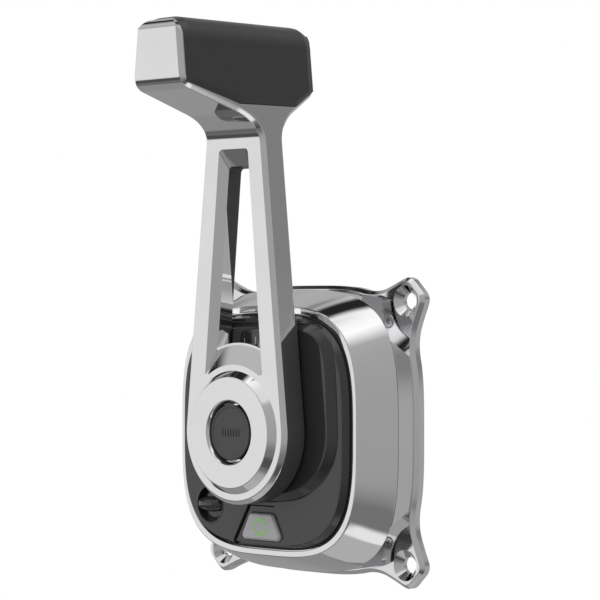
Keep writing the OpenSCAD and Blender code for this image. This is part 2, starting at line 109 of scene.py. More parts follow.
def grid_faces(rows: int, columns: int, wrap_rows: bool, wrap_columns: bool) -> Array:
    """Quads between neighbouring points of a grid.

    Args:
        rows: number of rows of points.
        columns: number of points in a row.
        wrap_rows: whether the last row joins the first.
        wrap_columns: whether the last column joins the first.
    Returns:
        An array with four point numbers a line.
    """
    i, j = np.meshgrid(
        np.arange(rows - (not wrap_rows)), np.arange(columns - (not wrap_columns)), indexing="ij"
    )
    i2, j2 = (i + 1) % rows, (j + 1) % columns
    quads = np.stack([i * columns + j, i * columns + j2, i2 * columns + j2, i2 * columns + j], -1)
    return quads.reshape(-1, 4)


def stack(rings: Array, closed: bool = False) -> Shell:
    """A surface through a stack of outlines that all have the same number of points.

    Args:
        rings: array of outlines, (count, points, 3).
        closed: whether the last outline joins the first, as round a hollow frame. If not, both ends get
            a flat face.
    Returns:
        The shell.
    """
    count, n = rings.shape[:2]
    faces = [grid_faces(count, n, closed, True)]
    if not closed:
        faces += [np.arange(n)[None, ::-1], (count - 1) * n + np.arange(n)[None]]
    return Shell(rings.reshape(-1, 3), faces)


def lifted(outline: Array, height: float | Array) -> Array:
    """An outline, or one outline per height, given its height above the panel.

    Args:
        outline: points (x, y), or one such outline for each height.
        height: a height, or an array of them.
    Returns:
        Points (x, y, z), with an axis more in front for an array of heights.
    """
    height = np.asarray(height, float)
    flat = np.broadcast_to(outline, height.shape + outline.shape[-2:])
    level = np.broadcast_to(height[..., None, None], flat.shape[:-1] + (1,))
    return np.concatenate([flat, level], -1)


def layered(profile: Array, outline: Callable[[float], Array]) -> Array:
    """The stack of outlines of a profile: for each of its points (d, z), outline(d) at the height z."""
    return np.stack([lifted(outline(d), z) for d, z in profile])


def four_corners(x: float, y: float) -> list[Pair]:
    """The four points (+-x, +-y), anticlockwise."""
    return [(x, y), (-x, y), (-x, -y), (x, -y)]


def softened(
    corners: Array, cut: float | list[float], steps: int = 4, closed: bool = False
) -> Array:
    """A line or loop whose corners are each rounded by a curve (1-t)^2 a + 2t(1-t) p + t^2 b.

    Args:
        corners: the corners p.
        cut: how far before and after its corner each curve starts and ends.
        steps: points along a curve.
        closed: whether the line is a loop.
    Returns:
        The rounded line.
    """
    p = np.asarray(corners, float)
    c = np.broadcast_to(np.asarray(cut, float), (len(p),))[:, None]
    before, after = np.roll(p, 1, 0) - p, np.roll(p, -1, 0) - p
    a = p + before / np.linalg.norm(before, axis=1, keepdims=True) * c
    b = p + after / np.linalg.norm(after, axis=1, keepdims=True) * c
    t = np.linspace(0, 1, steps + 1)[None, :, None]
    curves = (1 - t) ** 2 * a[:, None] + 2 * t * (1 - t) * p[:, None] + t * t * b[:, None]
    if closed:
        return curves.reshape(-1, p.shape[1])
    return np.concatenate([p[:1], curves[1:-1].reshape(-1, p.shape[1]), p[-1:]])


def bend(a: Array, b: Array, c: Array, steps: int) -> Array:
    """Points on the curve (1-t)^2 a + 2t(1-t) b + t^2 c."""
    t = np.linspace(0, 1, steps)[:, None]
    return (1 - t) ** 2 * np.array(a) + 2 * t * (1 - t) * np.array(b) + t * t * np.array(c)


def arc(centre: Pair, radius: float, start: float, end: float, steps: int) -> Array:
    """Points centre + radius (cos a, sin a) between two angles in degrees."""
    a = np.radians(np.linspace(start, end, steps))
    return np.array(centre) + radius * np.stack([np.cos(a), np.sin(a)], -1)


def even(outline: Array, count: int) -> Array:
    """A closed outline resampled at equal steps along its length.

    Args:
        outline: points round a closed outline.
        count: how many points to lay along it.
    Returns:
        The new points.
    """
    loop = np.concatenate([outline, outline[:1]])
    run = np.concatenate([[0], np.cumsum(np.linalg.norm(np.diff(loop, axis=0), axis=1))])
    at = np.linspace(0, run[-1], count, endpoint=False)
    return np.stack([np.interp(at, run, loop[:, 0]), np.interp(at, run, loop[:, 1])], -1)


def inset(outline: Array, distance: float, open_ends: bool = False) -> Array:
    """An outline moved to the left of its direction: p + d n, n being the unit normal at p.

    Args:
        outline: points, anticlockwise for a move inwards.
        distance: how far it moves.
        open_ends: whether the outline is a line and not a loop.
    Returns:
        The moved outline.
    """
    if open_ends:
        along = np.gradient(outline, axis=0)
    else:
        ahead, behind = np.roll(outline, -1, 0) - outline, outline - np.roll(outline, 1, 0)
        along = ahead / np.linalg.norm(ahead, axis=1, keepdims=True)
        along += behind / np.linalg.norm(behind, axis=1, keepdims=True)
    along /= np.linalg.norm(along, axis=1, keepdims=True)
    return outline + distance * np.stack([-along[:, 1], along[:, 0]], -1)


def squircle(half: float, squareness: float = 3.4, count: int = FINE) -> Array:
    """Rounded square |x/half|^n + |y/half|^n = 1, anticlockwise, at equal steps.

    Args:
        half: half its width.
        squareness: the power n, which is 2 for a circle.
        count: how many points it has.
    Returns:
        The outline.
    """
    a = np.linspace(0, 2 * np.pi, 4 * count, endpoint=False)
    r = half / (np.abs(np.cos(a)) ** squareness + np.abs(np.sin(a)) ** squareness) ** (1 / squareness)
    return even(np.stack([r * np.cos(a), r * np.sin(a)], -1), count)


def through(points: Array, steps: int) -> Array:
    """A closed curve through points, by the Catmull-Rom formula between each two of them.

    Args:
        points: the points, anticlockwise.
        steps: points from each one to the next.
    Returns:
        The closed curve.
    """
    p0, p1, p2, p3 = (np.roll(points, k, 0)[:, None] for k in (1, 0, -1, -2))
    t = np.linspace(0, 1, steps, endpoint=False)[None, :, None]
    square, cube = 2 * p0 - 5 * p1 + 4 * p2 - p3, 3 * p1 - p0 - 3 * p2 + p3
    curve = 0.5 * (2 * p1 + (p2 - p0) * t + square * t**2 + cube * t**3)
    return curve.reshape(-1, 2)


def turned(
    profile: Array, centre: Pair = (0, 0), hollow: bool = False, steps: int = ROUND
) -> Shell:
    """A profile (r, z) turned round an axis: x = cx + r cos a, y = cy + r sin a.

    Args:
        profile: points from the bottom to the top, or a loop where hollow.
        centre: where the axis stands on the panel.
        hollow: whether the profile is a loop, as for a ring.
        steps: points round the axis.
    Returns:
        The shell, flat at both ends unless hollow.
    """
    profile = np.asarray(profile, float)
    circle = arc((0, 0), 1, 0, 360, steps + 1)[:-1]
    plan = np.array(centre) + profile[:, None, :1] * circle[None]
    height = np.broadcast_to(profile[:, None, 1:], plan.shape[:2] + (1,))
    return stack(np.concatenate([plan, height], -1), closed=hollow)


def prism(outline: Array, low: float, high: float) -> Shell:
    """A straight block of an outline between two heights."""
    return stack(lifted(np.asarray(outline, float), [low, high]))


def side_prism(outline: Array, half: float) -> Shell:
    """A block of a side outline (y, z) that reaches half to each side of the middle.

    Args:
        outline: points (y, z).
        half: how far it reaches to each side.
    Returns:
        The block.
    """
    outline = np.asarray(outline, float)
    x = np.broadcast_to(np.array([-half, half])[:, None, None], (2, len(outline), 1))
    return stack(np.concatenate([x, np.broadcast_to(outline, (2,) + outline.shape)], -1))


def slab(outline: Array, low: float, high: float, edge: float, steps: int = 4) -> Shell:
    """A block of an outline whose front edge is rounded over by `edge`."""
    profile = softened([[0, low], [0, high], [2 * edge, high]], edge, steps)[:-1]
    return stack(layered(profile, lambda d: inset(outline, d)))


def mesh_object(name: str, shell: Shell) -> Object:
    """Puts a shell into a new mesh object at the origin, with its normals outwards.

    Args:
        name: the object's name.
        shell: its surface in the panel's frame.
    Returns:
        The object, linked to the scene.
    """
    points = to_model(shell.points).astype(np.float32)
    corners = np.concatenate([f.ravel() for f in shell.faces]).astype(np.int32)
    sizes = np.concatenate([np.full(len(f), f.shape[1]) for f in shell.faces])
    starts = np.concatenate([[0], np.cumsum(sizes)[:-1]]).astype(np.int32)
    mesh = bpy.data.meshes.new(name)
    mesh.vertices.add(len(points))
    mesh.vertices.foreach_set("co", points.ravel())
    mesh.loops.add(len(corners))
    mesh.loops.foreach_set("vertex_index", corners)
    mesh.polygons.add(len(sizes))
    mesh.polygons.foreach_set("loop_start", starts)
    mesh.update(calc_edges=True)
    bm = bmesh.new()
    bm.from_mesh(mesh)
    bmesh.ops.remove_doubles(bm, verts=bm.verts, dist=1e-6)
    bmesh.ops.recalc_face_normals(bm, faces=bm.faces)
    bm.to_mesh(mesh)
    bm.free()
    obj = bpy.data.objects.new(name, mesh)
    bpy.context.scene.collection.objects.link(obj)
    return obj


def settled(obj: Object) -> Object:
    """Applies an object's modifiers to its mesh.

    Args:
        obj: the object.
    Returns:
        The same object without modifiers.
    """
    graph = bpy.context.evaluated_depsgraph_get()
    mesh = bpy.data.meshes.new_from_object(obj.evaluated_get(graph))
    obj.modifiers.clear()
    obj.data = mesh
    return obj


def machined(obj: Object, tool: Shell | Object, operation: str = "DIFFERENCE") -> Object:
    """Cuts a closed shape out of an object, or joins or meets it with one.

    Args:
        obj: the object.
        tool: a shell, or an object that is used up.
        operation: DIFFERENCE, UNION or INTERSECT.
    Returns:
        The same object with the new mesh.
    """
    cutter = mesh_object("tool", tool) if isinstance(tool, Shell) else tool
    step = obj.modifiers.new("machining", "BOOLEAN")
    step.operation, step.solver, step.object = operation, "EXACT", cutter
    settled(obj)
    bpy.data.objects.remove(cutter)
    return obj


def eased(obj: Object, width: float, segments: int = 2, angle: float = 30) -> Object:
    """Rounds the sharp edges of an object by `width` millimetres.

    Args:
        obj: the object.
        width: width of the rounding in millimetres.
        segments: faces across a rounding.
        angle: angle in degrees above which an edge is rounded.
    Returns:
        The same object with the new mesh.
    """
    step = obj.modifiers.new("eased", "BEVEL")
    step.width, step.segments = width * MM, segments
    step.limit_method, step.angle_limit = "ANGLE", math.radians(angle)
    step.miter_outer = "MITER_ARC"
    return settled(obj)


# Finishes


# Features a metre of the tone's soft clouds and of the smudges in the gloss.
CLOUDS = 38
SMUDGES = 150


class Grain(Enum):
    """The kind of fine relief that a finish has."""

    POLISHED = "polished"
    BRUSHED = "brushed"
    MOULDED = "moulded"
    RUBBER = "rubber"
    THREADED = "threaded"
    TRACKS = "tracks"


class Bench:
    """Lays out the nodes of one material."""

    def __init__(self, name: str) -> None:
        """Starts an empty material with its shader and output.

        Args:
            name: the material's name.
        """
        self.material = bpy.data.materials.new(name)
        self.material.use_nodes = True
        self.tree = self.material.node_tree
        self.tree.nodes.clear()
        output = self.tree.nodes.new("ShaderNodeOutputMaterial")
        self.shader = self.tree.nodes.new("ShaderNodeBsdfPrincipled")
        self.tree.links.new(self.shader.outputs[0], output.inputs["Surface"])
        self.place = self.tree.nodes.new("ShaderNodeTexCoord").outputs["Object"]

    def node(self, kind: str, settings: dict | None = None, **inputs: object) -> bpy.types.Node:
        """Adds a node.

        Args:
            kind: its type without the ShaderNode prefix.
            settings: properties of the node.
            inputs: values or sockets for its inputs, with _ for a space.
        Returns:
            The node.
        """
        made = self.tree.nodes.new("ShaderNode" + kind)
        for key, value in (settings or {}).items():
            setattr(made, key, value)
        for key, value in inputs.items():
            socket = made.inputs[key.replace("_", " ")]
            if isinstance(value, Socket):
                self.tree.links.new(value, socket)
            else:
                socket.default_value = value
        return made

    def stretched(self, scale: tuple[float, float, float]) -> Socket:
        """Object coordinates stretched along each axis."""
        return self.node("Mapping", Vector=self.place, Scale=scale).outputs["Vector"]

    def noise(self, scale: float, detail: float, place: Socket | None = None) -> Socket:
        """Cloudy noise from 0 to 1, with `scale` features a metre."""
        made = self.node("TexNoise", Vector=place or self.place, Scale=scale, Detail=detail)
        return made.outputs["Fac"]

    def ranged(self, value: Socket, low: float, high: float, to: Pair) -> Socket:
        """A value from low to high carried over to another range and held inside it.

        Args:
            value: the value.
            low: its lowest.
            high: its highest.
            to: what its lowest and its highest become.
        Returns:
            The new value.
        """
        made = self.node("MapRange", Value=value)
        for key, number in zip(("From Min", "From Max", "To Min", "To Max"), (low, high, *to)):
            made.inputs[key].default_value = number
        return made.outputs["Result"]

    def blended(self, share: Socket, a: object, b: object) -> Socket:
        """Colour a, with a share of colour b over it.

        Args:
            share: how much of colour b shows, from 0 to 1.
            a: a colour or a socket.
            b: the colour or socket over it.
        Returns:
            The mixed colour.
        """
        made = self.node("Mix", {"data_type": "RGBA"})
        for socket, value in ((made.inputs[0], share), (made.inputs[6], a), (made.inputs[7], b)):
            if isinstance(value, Socket):
                self.tree.links.new(value, socket)
            else:
                socket.default_value = value
        return made.outputs[2]


@dataclass(frozen=True)
class Finish:
    """A surface finish: colour, gloss, fine relief and a painted highlight on the edges."""

    colour: tuple[float, float, float]
    roughness: Pair
    metallic: float = 0.0
    grain: Grain = Grain.POLISHED
    scale: float = 900.0
    height: float = 0.00001
    relief: float = 0.1
    tone: float = 0.04
    # Painted highlight on convex edges: how strongly it shows, and its colour.
    edge_highlight_strength: float = 0.0
    edge_highlight: tuple[float, float, float] = (0.5, 0.5, 0.5)
    coat: float = 0.0
    sheen: float = 0.0
    specular: float = 0.5
    glow: float = 0.0

    def surface_height(self, bench: Bench) -> Socket:
        """The height of the fine relief, from 0 to 1.

        Args:
            bench: the material that the nodes go into.
        Returns:
            The height's socket.
        """
        if self.grain is Grain.BRUSHED:
            return bench.noise(self.scale, 4, bench.stretched((1, 1, 0.03)))
        if self.grain is Grain.MOULDED:
            made = bench.node("TexVoronoi", {"feature": "SMOOTH_F1"}, Vector=bench.place, Scale=self.scale)
            return made.outputs["Distance"]
        if self.grain is Grain.RUBBER:
            edges = {"feature": "DISTANCE_TO_EDGE"}
            cells = bench.node("TexVoronoi", edges, Vector=bench.place, Scale=self.scale)
            rounded = bench.ranged(cells.outputs["Distance"], 0, 0.16, (0, 1))
            fine = bench.noise(self.scale * 3, 2)
            mixed = bench.node("Math", {"operation": "MULTIPLY_ADD"})
            bench.tree.links.new(fine, mixed.inputs[0])
            bench.tree.links.new(rounded, mixed.inputs[2])
            mixed.inputs[1].default_value = 0.4
            return mixed.outputs[0]
        if self.grain is Grain.THREADED:
            made = bench.node("TexWave", {"bands_direction": "Y"}, Vector=bench.place, Scale=self.scale)
            return made.outputs["Fac"]
        if self.grain is Grain.TRACKS:
            made = bench.node("TexBrick", Vector=bench.stretched((1, 1, 1)), Scale=self.scale)
            return made.outputs["Fac"]
        return bench.noise(self.scale, 3)

    def made(self, name: str) -> bpy.types.Material:
        """The node material of this finish.

        Args:
            name: the material's name.
        Returns:
            The material.
        """
        bench = Bench(name)
        shader = bench.shader.inputs
        link = bench.tree.links.new
        clouds = bench.noise(CLOUDS, 3)
        dark = tuple(c * (1 - self.tone) for c in self.colour) + (1,)
        light = tuple(min(1, c * (1 + self.tone)) for c in self.colour) + (1,)
        colour = bench.blended(clouds, dark, light)
        # Painted highlight: convex edges (high pointiness) get a lighter grey in the colour, standing in for
        # the light that the rims and chamfers catch.
        if self.edge_highlight_strength:
            edges = bench.node("NewGeometry").outputs["Pointiness"]
            edge_highlight = bench.ranged(edges, 0.52, 0.6, (0, self.edge_highlight_strength))
            colour = bench.blended(edge_highlight, colour, self.edge_highlight + (1,))
        link(colour, shader["Base Color"])
        link(bench.ranged(bench.noise(SMUDGES, 4), 0.3, 0.7, self.roughness), shader["Roughness"])
        relief = self.surface_height(bench)
        bump = bench.node("Bump", Height=relief, Strength=self.relief, Distance=self.height)
        link(bump.outputs["Normal"], shader["Normal"])
        shader["Metallic"].default_value = self.metallic
        shader["Specular IOR Level"].default_value = self.specular
        shader["Coat Weight"].default_value = self.coat
        shader["Coat Roughness"].default_value = 0.05
        shader["Sheen Weight"].default_value = self.sheen
        if self.glow:
            link(colour, shader["Emission Color"])
            shader["Emission Strength"].default_value = self.glow
        return bench.material


FINISHES: dict[str, Finish] = {
    "plate_chrome": Finish((0.78, 0.78, 0.79), (0.05, 0.10), 1.0, scale=260, height=0.00002, relief=0.05),
    "housing_chrome": Finish((0.80, 0.80, 0.81), (0.04, 0.08), 1.0, scale=220, height=0.00002, relief=0.04),
    "satin_chrome": Finish((0.80, 0.80, 0.81), (0.03, 0.07), 1.0, Grain.BRUSHED, 1400, 0.000004, 0.06),
    "screw_steel": Finish((0.60, 0.60, 0.61), (0.16, 0.30), 1.0, Grain.THREADED, 320, 0.00004, 0.12),
    "cast_alloy": Finish((0.52, 0.53, 0.54), (0.35, 0.55), 1.0, Grain.MOULDED, 1300, 0.00008, 0.4),
    "bronze": Finish((0.62, 0.44, 0.20), (0.25, 0.40), 1.0, Grain.MOULDED, 2600, 0.00002, 0.3),
    "gloss_black": Finish(
        (0.031, 0.031, 0.032), (0.04, 0.09), scale=300, height=0.00001, relief=0.05, coat=0.3
    ),
    "moulded_black": Finish(
        (0.06, 0.062, 0.061), (0.3, 0.42), grain=Grain.MOULDED, scale=2600, height=0.00003, relief=0.25
    ),
    # The rubber's rims and chamfers get a painted highlight: a lighter grey on its convex edges.
    "grip_rubber": Finish(
        (0.018, 0.0195, 0.019), (0.34, 0.46), grain=Grain.RUBBER, scale=1500, height=0.00004, relief=0.3,
        tone=0.1, sheen=0.15, specular=0.75, edge_highlight_strength=0.35, edge_highlight=(0.09, 0.09, 0.09)
    ),
    "seal_rubber": Finish(
        (0.02, 0.02, 0.02), (0.55, 0.7), grain=Grain.RUBBER, scale=2400, height=0.00003, relief=0.3
    ),
    "cap_grey": Finish(
        (0.06, 0.06, 0.062), (0.38, 0.5), grain=Grain.MOULDED, scale=2800, height=0.00003, relief=0.25
    ),
    "button_grey": Finish((0.45, 0.45, 0.46), (0.3, 0.42), 0.3, Grain.MOULDED, 3200, 0.00002, 0.2),
    "icon_green": Finish((0.16, 0.50, 0.03), (0.3, 0.4), glow=0.35, scale=900),
    "clear_white": Finish((0.86, 0.88, 0.9), (0.12, 0.2), scale=700, glow=0.7, coat=0.5),
    "board_green": Finish(
        (0.01, 0.09, 0.03), (0.3, 0.4), grain=Grain.TRACKS, scale=160, height=0.00004, relief=0.4
    ),
}


@dataclass
class Trim:
    """Dresses pieces, fixes them to their body and reports them."""

    materials: dict[str, bpy.types.Material] = field(default_factory=dict)

    def material(self, slot: str) -> bpy.types.Material:
        """The material of a slot, made the first time it is asked for.

        Args:
            slot: the record's material slot.
        Returns:
            The slot's material.
        """
        if slot not in self.materials:
            self.materials[slot] = FINISHES[slot].made(slot)
        return self.materials[slot]

    def fit(self, obj: Object, body: str, slot: str, *nodes: str, crease: float = 28) -> Object:
        """Gives a piece its finish and its body.

        Args:
            obj: the piece.
            body: the body that it rides on.
            slot: the record's material slot.
            nodes: CAD nodes that it stands for.
            crease: angle in degrees above which an edge stays sharp.
        Returns:
            The piece.
        """
        mesh = obj.data
        mesh.materials.clear()
        mesh.materials.append(self.material(slot))
        mesh.polygons.foreach_set("use_smooth", np.ones(len(mesh.polygons), bool))
        mesh.set_sharp_from_angle(angle=math.radians(crease))
        weighted = obj.modifiers.new("flats", "WEIGHTED_NORMAL")
        weighted.keep_sharp, weighted.weight = True, 90
        if nodes:
            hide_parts(*nodes)
        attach(obj, body)
        log.info("%s on %s: %d faces", obj.name, body, len(mesh.polygons))
        return obj

    def dress_cad(self) -> None:
        """Gives every CAD node that still shows the material of its slot."""
        slots = {p["node"]: p["material_slot"] for p in frame["record"]["subparts"]}
        for name, obj in frame["nodes"].items():
            if obj.hide_render:
                continue
            obj.data.materials.clear()
            obj.data.materials.append(self.material(slots[name]))
            log.info("%s keeps its CAD shape", name)


# Housing


@dataclass
class MountingPlate:
    """The eared plate, its corner screws, and the seal and plug in its back."""

    thick: float = 6.0
    squareness: float = 3.4
    half: float = 75.7
    hole_r: float = 4.2
    sink_r: float = 8.0
    screw_at: Pair = (56.0, 57.0)
    carrier_screw_at: float = 30.0
    housing_screw_at: float = 69.6
    groove: Pair = (56.0, 64.0)
    groove_deep: float = 1.2
    plug_y: float = -38.0
    plug_r: float = 11.0
    ear: tuple[Pair, ...] = (
        (46, 72.7), (52, 73.6), (59, 76.2), (65.5, 79), (68.4, 79.5), (70.9, 78.7), (72.6, 77.3)
    )

    def outline(self) -> Array:
        """One eighth of the edge, mirrored about the diagonal and turned to the four corners.

        Returns:
            The edge with its four ears, anticlockwise.
        """
        x = np.linspace(0, 40, 8)
        side = np.stack([x, (self.half**self.squareness - x**self.squareness) ** (1 / self.squareness)], -1)
        eighth = np.concatenate([side, np.array(self.ear)])
        quarter = np.concatenate([eighth, eighth[:0:-1, ::-1]])[::-1]
        turns = [quarter @ np.array([[c, s], [-s, c]]) for c, s in ((1, 0), (0, 1), (-1, 0), (0, -1))]
        return even(through(np.concatenate(turns), 12), 720)

    def holes(self) -> Shell:
        """Everything that is drilled into the plate.

        Returns:
            The drills as one shell.
        """
        top, wide = self.thick, self.sink_r
        low, high = self.groove
        far = self.housing_screw_at
        sink = [[self.hole_r, -1], [self.hole_r, top - 3.8], [wide, top], [wide + 1.2, top + 1.2]]
        tap = [[2.0, -1], [2.0, top - 1.6], [3.7, top + 0.1], [3.7, top + 1]]
        back = [[3.3, -1], [3.3, 0], [1.6, 1.8], [1.6, top + 1]]
        back_screws = four_corners(self.carrier_screw_at, self.carrier_screw_at)
        back_screws += [(far, 0), (0, far), (-far, 0), (0, -far)]
        drilled = [
            turned([[self.plug_r, -1], [self.plug_r, top + 1]], (0, self.plug_y)),
            turned([[low, -1], [high, -1], [high, self.groove_deep], [low, self.groove_deep]], hollow=True),
        ]
        drilled += [turned(sink, at, steps=96) for at in four_corners(HOLE_OFFSET, HOLE_OFFSET)]
        drilled += [turned(tap, at, steps=64) for at in four_corners(*self.screw_at)]
        drilled += [turned(back, at, steps=48) for at in back_screws]
        return joined(drilled)

    def screw(self, at: Pair) -> Shell:
        """A countersunk screw with a six-sided socket in its slightly raised head.

        Args:
            at: where it stands on the plate.
        Returns:
            The screw.
        """
        head = softened([[1.95, 0.6], [1.95, 4.4], [3.6, 6.0], [3.55, 6.25], [3.1, 6.5], [1.9, 6.5]], 0.12, 3)
        a = np.linspace(0, 2 * np.pi, ROUND, endpoint=False)
        socket = 1.5 * math.cos(math.pi / 6) / np.cos(a % (np.pi / 3) - np.pi / 6)
        walls = np.stack([socket + 0.15, socket, socket * 0.98])
        radius = np.concatenate([np.repeat(head[:, :1], ROUND, 1), walls])
        height = np.concatenate([head[:, 1], [6.5, 6.35, 5.2]])
        plan = radius[..., None] * np.stack([np.cos(a), np.sin(a)], -1) + np.array(at)
        return stack(np.concatenate([plan, np.repeat(height[:, None, None], ROUND, 1)], -1))

    def build(self, trim: Trim) -> None:
        """Makes the plate and what is fixed to it.

        Args:
            trim: dresses the finished pieces.
        """
        top = self.thick
        edge = softened([[0.8, 0], [0.45, 0], [0, 0.45], [0, top - 1.9], [1.9, top], [2.8, top]], 0.25, 3)
        outline = self.outline()
        plate = mesh_object("mounting_plate", stack(layered(edge, lambda d: inset(outline, d))))
        machined(plate, self.holes())
        trim.fit(plate, "housing", "plate_chrome", "base_plate")
        screws = joined(self.screw(at) for at in four_corners(*self.screw_at))
        trim.fit(mesh_object("corner_screws", screws), "housing", "screw_steel", "plate_screws")
        low, high, deep = self.groove[0] + 0.1, self.groove[1] - 0.1, self.groove_deep
        gasket = softened([[low, 0.05], [high, 0.05], [high, deep], [low, deep]], 0.3, 3, closed=True)
        ring = mesh_object("back_gasket", turned(gasket, hollow=True))
        trim.fit(ring, "housing", "seal_rubber", "mounting_gasket")
        self.build_plug(trim)

    def build_plug(self, trim: Trim) -> None:
        """Makes the plug connection: a round shell open to the back, with a key rib, and its pins.

        Args:
            trim: dresses the finished pieces.
        """
        r = self.plug_r
        cup = softened(
            [[2, 11], [8.6, 11], [8.6, 0.4], [r, 0.4], [r, 6], [r + 2.5, 6], [r + 2.5, 8], [r, 8],
             [r, 13], [8, 13]], 0.3, 3
        )
        rib = prism([[-1.2, 7.4], [1.2, 7.4], [1.2, 9.2], [-1.2, 9.2]], 1.2, 11.2)
        shell = turned(cup, (0, self.plug_y)) + rib.shifted((0, self.plug_y, 0))
        trim.fit(mesh_object("plug_shell", shell), "housing", "moulded_black", "connector_shell")
        pin = softened([[0.25, 2.5], [0.74, 2.9], [0.74, 13.6], [0.3, 13.6]], 0.2, 3)
        pins = joined(turned(pin, tuple(at), steps=32) for at in arc((0, self.plug_y), 4.8, 0, 300, 6))
        trim.fit(mesh_object("plug_pins", pins), "housing", "bronze", "connector_pins")


@dataclass
class Pedestal:
    """The block behind the bezel, with a scoop for each mounting screw, and the seam above it."""

    half: float = 73.3
    low: float = 6.0
    high: float = 17.0
    seam_high: float = 17.4
    seam: Pair = (70.3, 72.7)
    bore_r: float = 60.0
    scoop_low_r: float = 28.7
    scoop_high_r: float = 20.0

    def scoops(self, extra: float) -> Shell:
        """Four cones round the mounting holes, wider by `extra`.

        Args:
            extra: what each radius has more.
        Returns:
            The cones as one shell.
        """
        low_r, high_r = self.scoop_low_r + extra, self.scoop_high_r + extra
        cone = [[low_r, self.low - 0.1], [high_r, self.seam_high + 0.2]]
        return joined(turned(cone, at, steps=BROAD) for at in four_corners(HOLE_OFFSET, HOLE_OFFSET))

    def build(self, trim: Trim) -> None:
        """Makes the pedestal and the dark seam between it and the bezel.

        Args:
            trim: dresses the finished pieces.
        """
        profile = softened([[0, self.low], [0, self.high], [1.0, self.high]], 0.35, 3)
        block = stack(layered(profile, lambda d: squircle(self.half - d)))
        body = machined(mesh_object("pedestal_block", block), self.scoops(0))
        machined(body, turned([[self.bore_r, self.low - 1], [self.bore_r, self.high + 1]], steps=BROAD))
        trim.fit(eased(body, 0.3), "housing", "housing_chrome", "pedestal")
        inner, outer = self.seam
        low, high = self.high, self.seam_high
        seam = layered([(outer, low), (outer, high), (inner, high), (inner, low)], squircle)
        ring = machined(mesh_object("bezel_seam", stack(seam, closed=True)), self.scoops(0.3))
        trim.fit(ring, "housing", "seal_rubber", "housing_seal")


@dataclass
class Bezel:
    """The tapered mirror bezel with its lip and the windows in the lip."""

    back_half: float = 73.5
    back_z: float = 17.4
    rim_half: float = 64.7
    rim_z: float = 38.9
    lip: float = 3.1
    bulge: float = 0.5
    window_x: float = 22.6
    window_y: float = 62.0
    window: Pair = (4.7, 2.4)

    def profile(self) -> Array:
        """The section (half width, height): a side that bulges by 4t(1-t), lip, ledge and inside.

        Returns:
            The section as a loop of points (d, z).
        """
        t = np.linspace(0.04, 0.96, 10)
        side = np.stack([
            self.back_half + (self.rim_half - self.back_half) * t + self.bulge * 4 * t * (1 - t),
            self.back_z + (self.rim_z - self.back_z) * t,
        ], -1)
        inner = self.rim_half - self.lip
        foot = softened([[70, self.back_z], [self.back_half, self.back_z], side[0]], 0.4, 3)[1:-1]
        rim = [side[-1], [self.rim_half, self.rim_z], [inner, self.rim_z], [inner, 35]]
        crown = softened(rim, 0.45, 4)[1:-1]
        inside = [[inner, 35], [55.8, 35], [55.8, 32.5], [68, 19.4], [50, 19.4], [50, self.back_z]]
        return np.concatenate([foot, side, crown, inside])

    def window_outlines(self, grow: float) -> list[Array]:
        """Rounded rectangles of the two windows.

        Args:
            grow: what each rectangle has more on every side.
        Returns:
            The left outline and the right one.
        """
        w, h = self.window[0] / 2 + grow, self.window[1] / 2 + grow
        box = softened([[w, -h], [w, h], [-w, h], [-w, -h]], 0.4, 4, closed=True)
        return [box + np.array([s * self.window_x, self.window_y]) for s in (-1, 1)]

    def build(self, trim: Trim) -> None:
        """Makes the bezel, its windows and its seal.

        Args:
            Makes the bezel and its windows.
        """
        bezel = mesh_object("mirror_bezel", stack(layered(self.profile(), squircle), closed=True))
        left, right = (prism(o, self.rim_z - 3, self.rim_z + 1) for o in self.window_outlines(0))
        machined(bezel, left + right)
        trim.fit(bezel, "housing", "housing_chrome", "bezel")
        left, right = (slab(o, self.rim_z - 2.9, self.rim_z + 0.1, 0.25) for o in self.window_outlines(-0.06))
        trim.fit(mesh_object("lip_windows", left + right), "housing", "clear_white", "indicator_lenses")


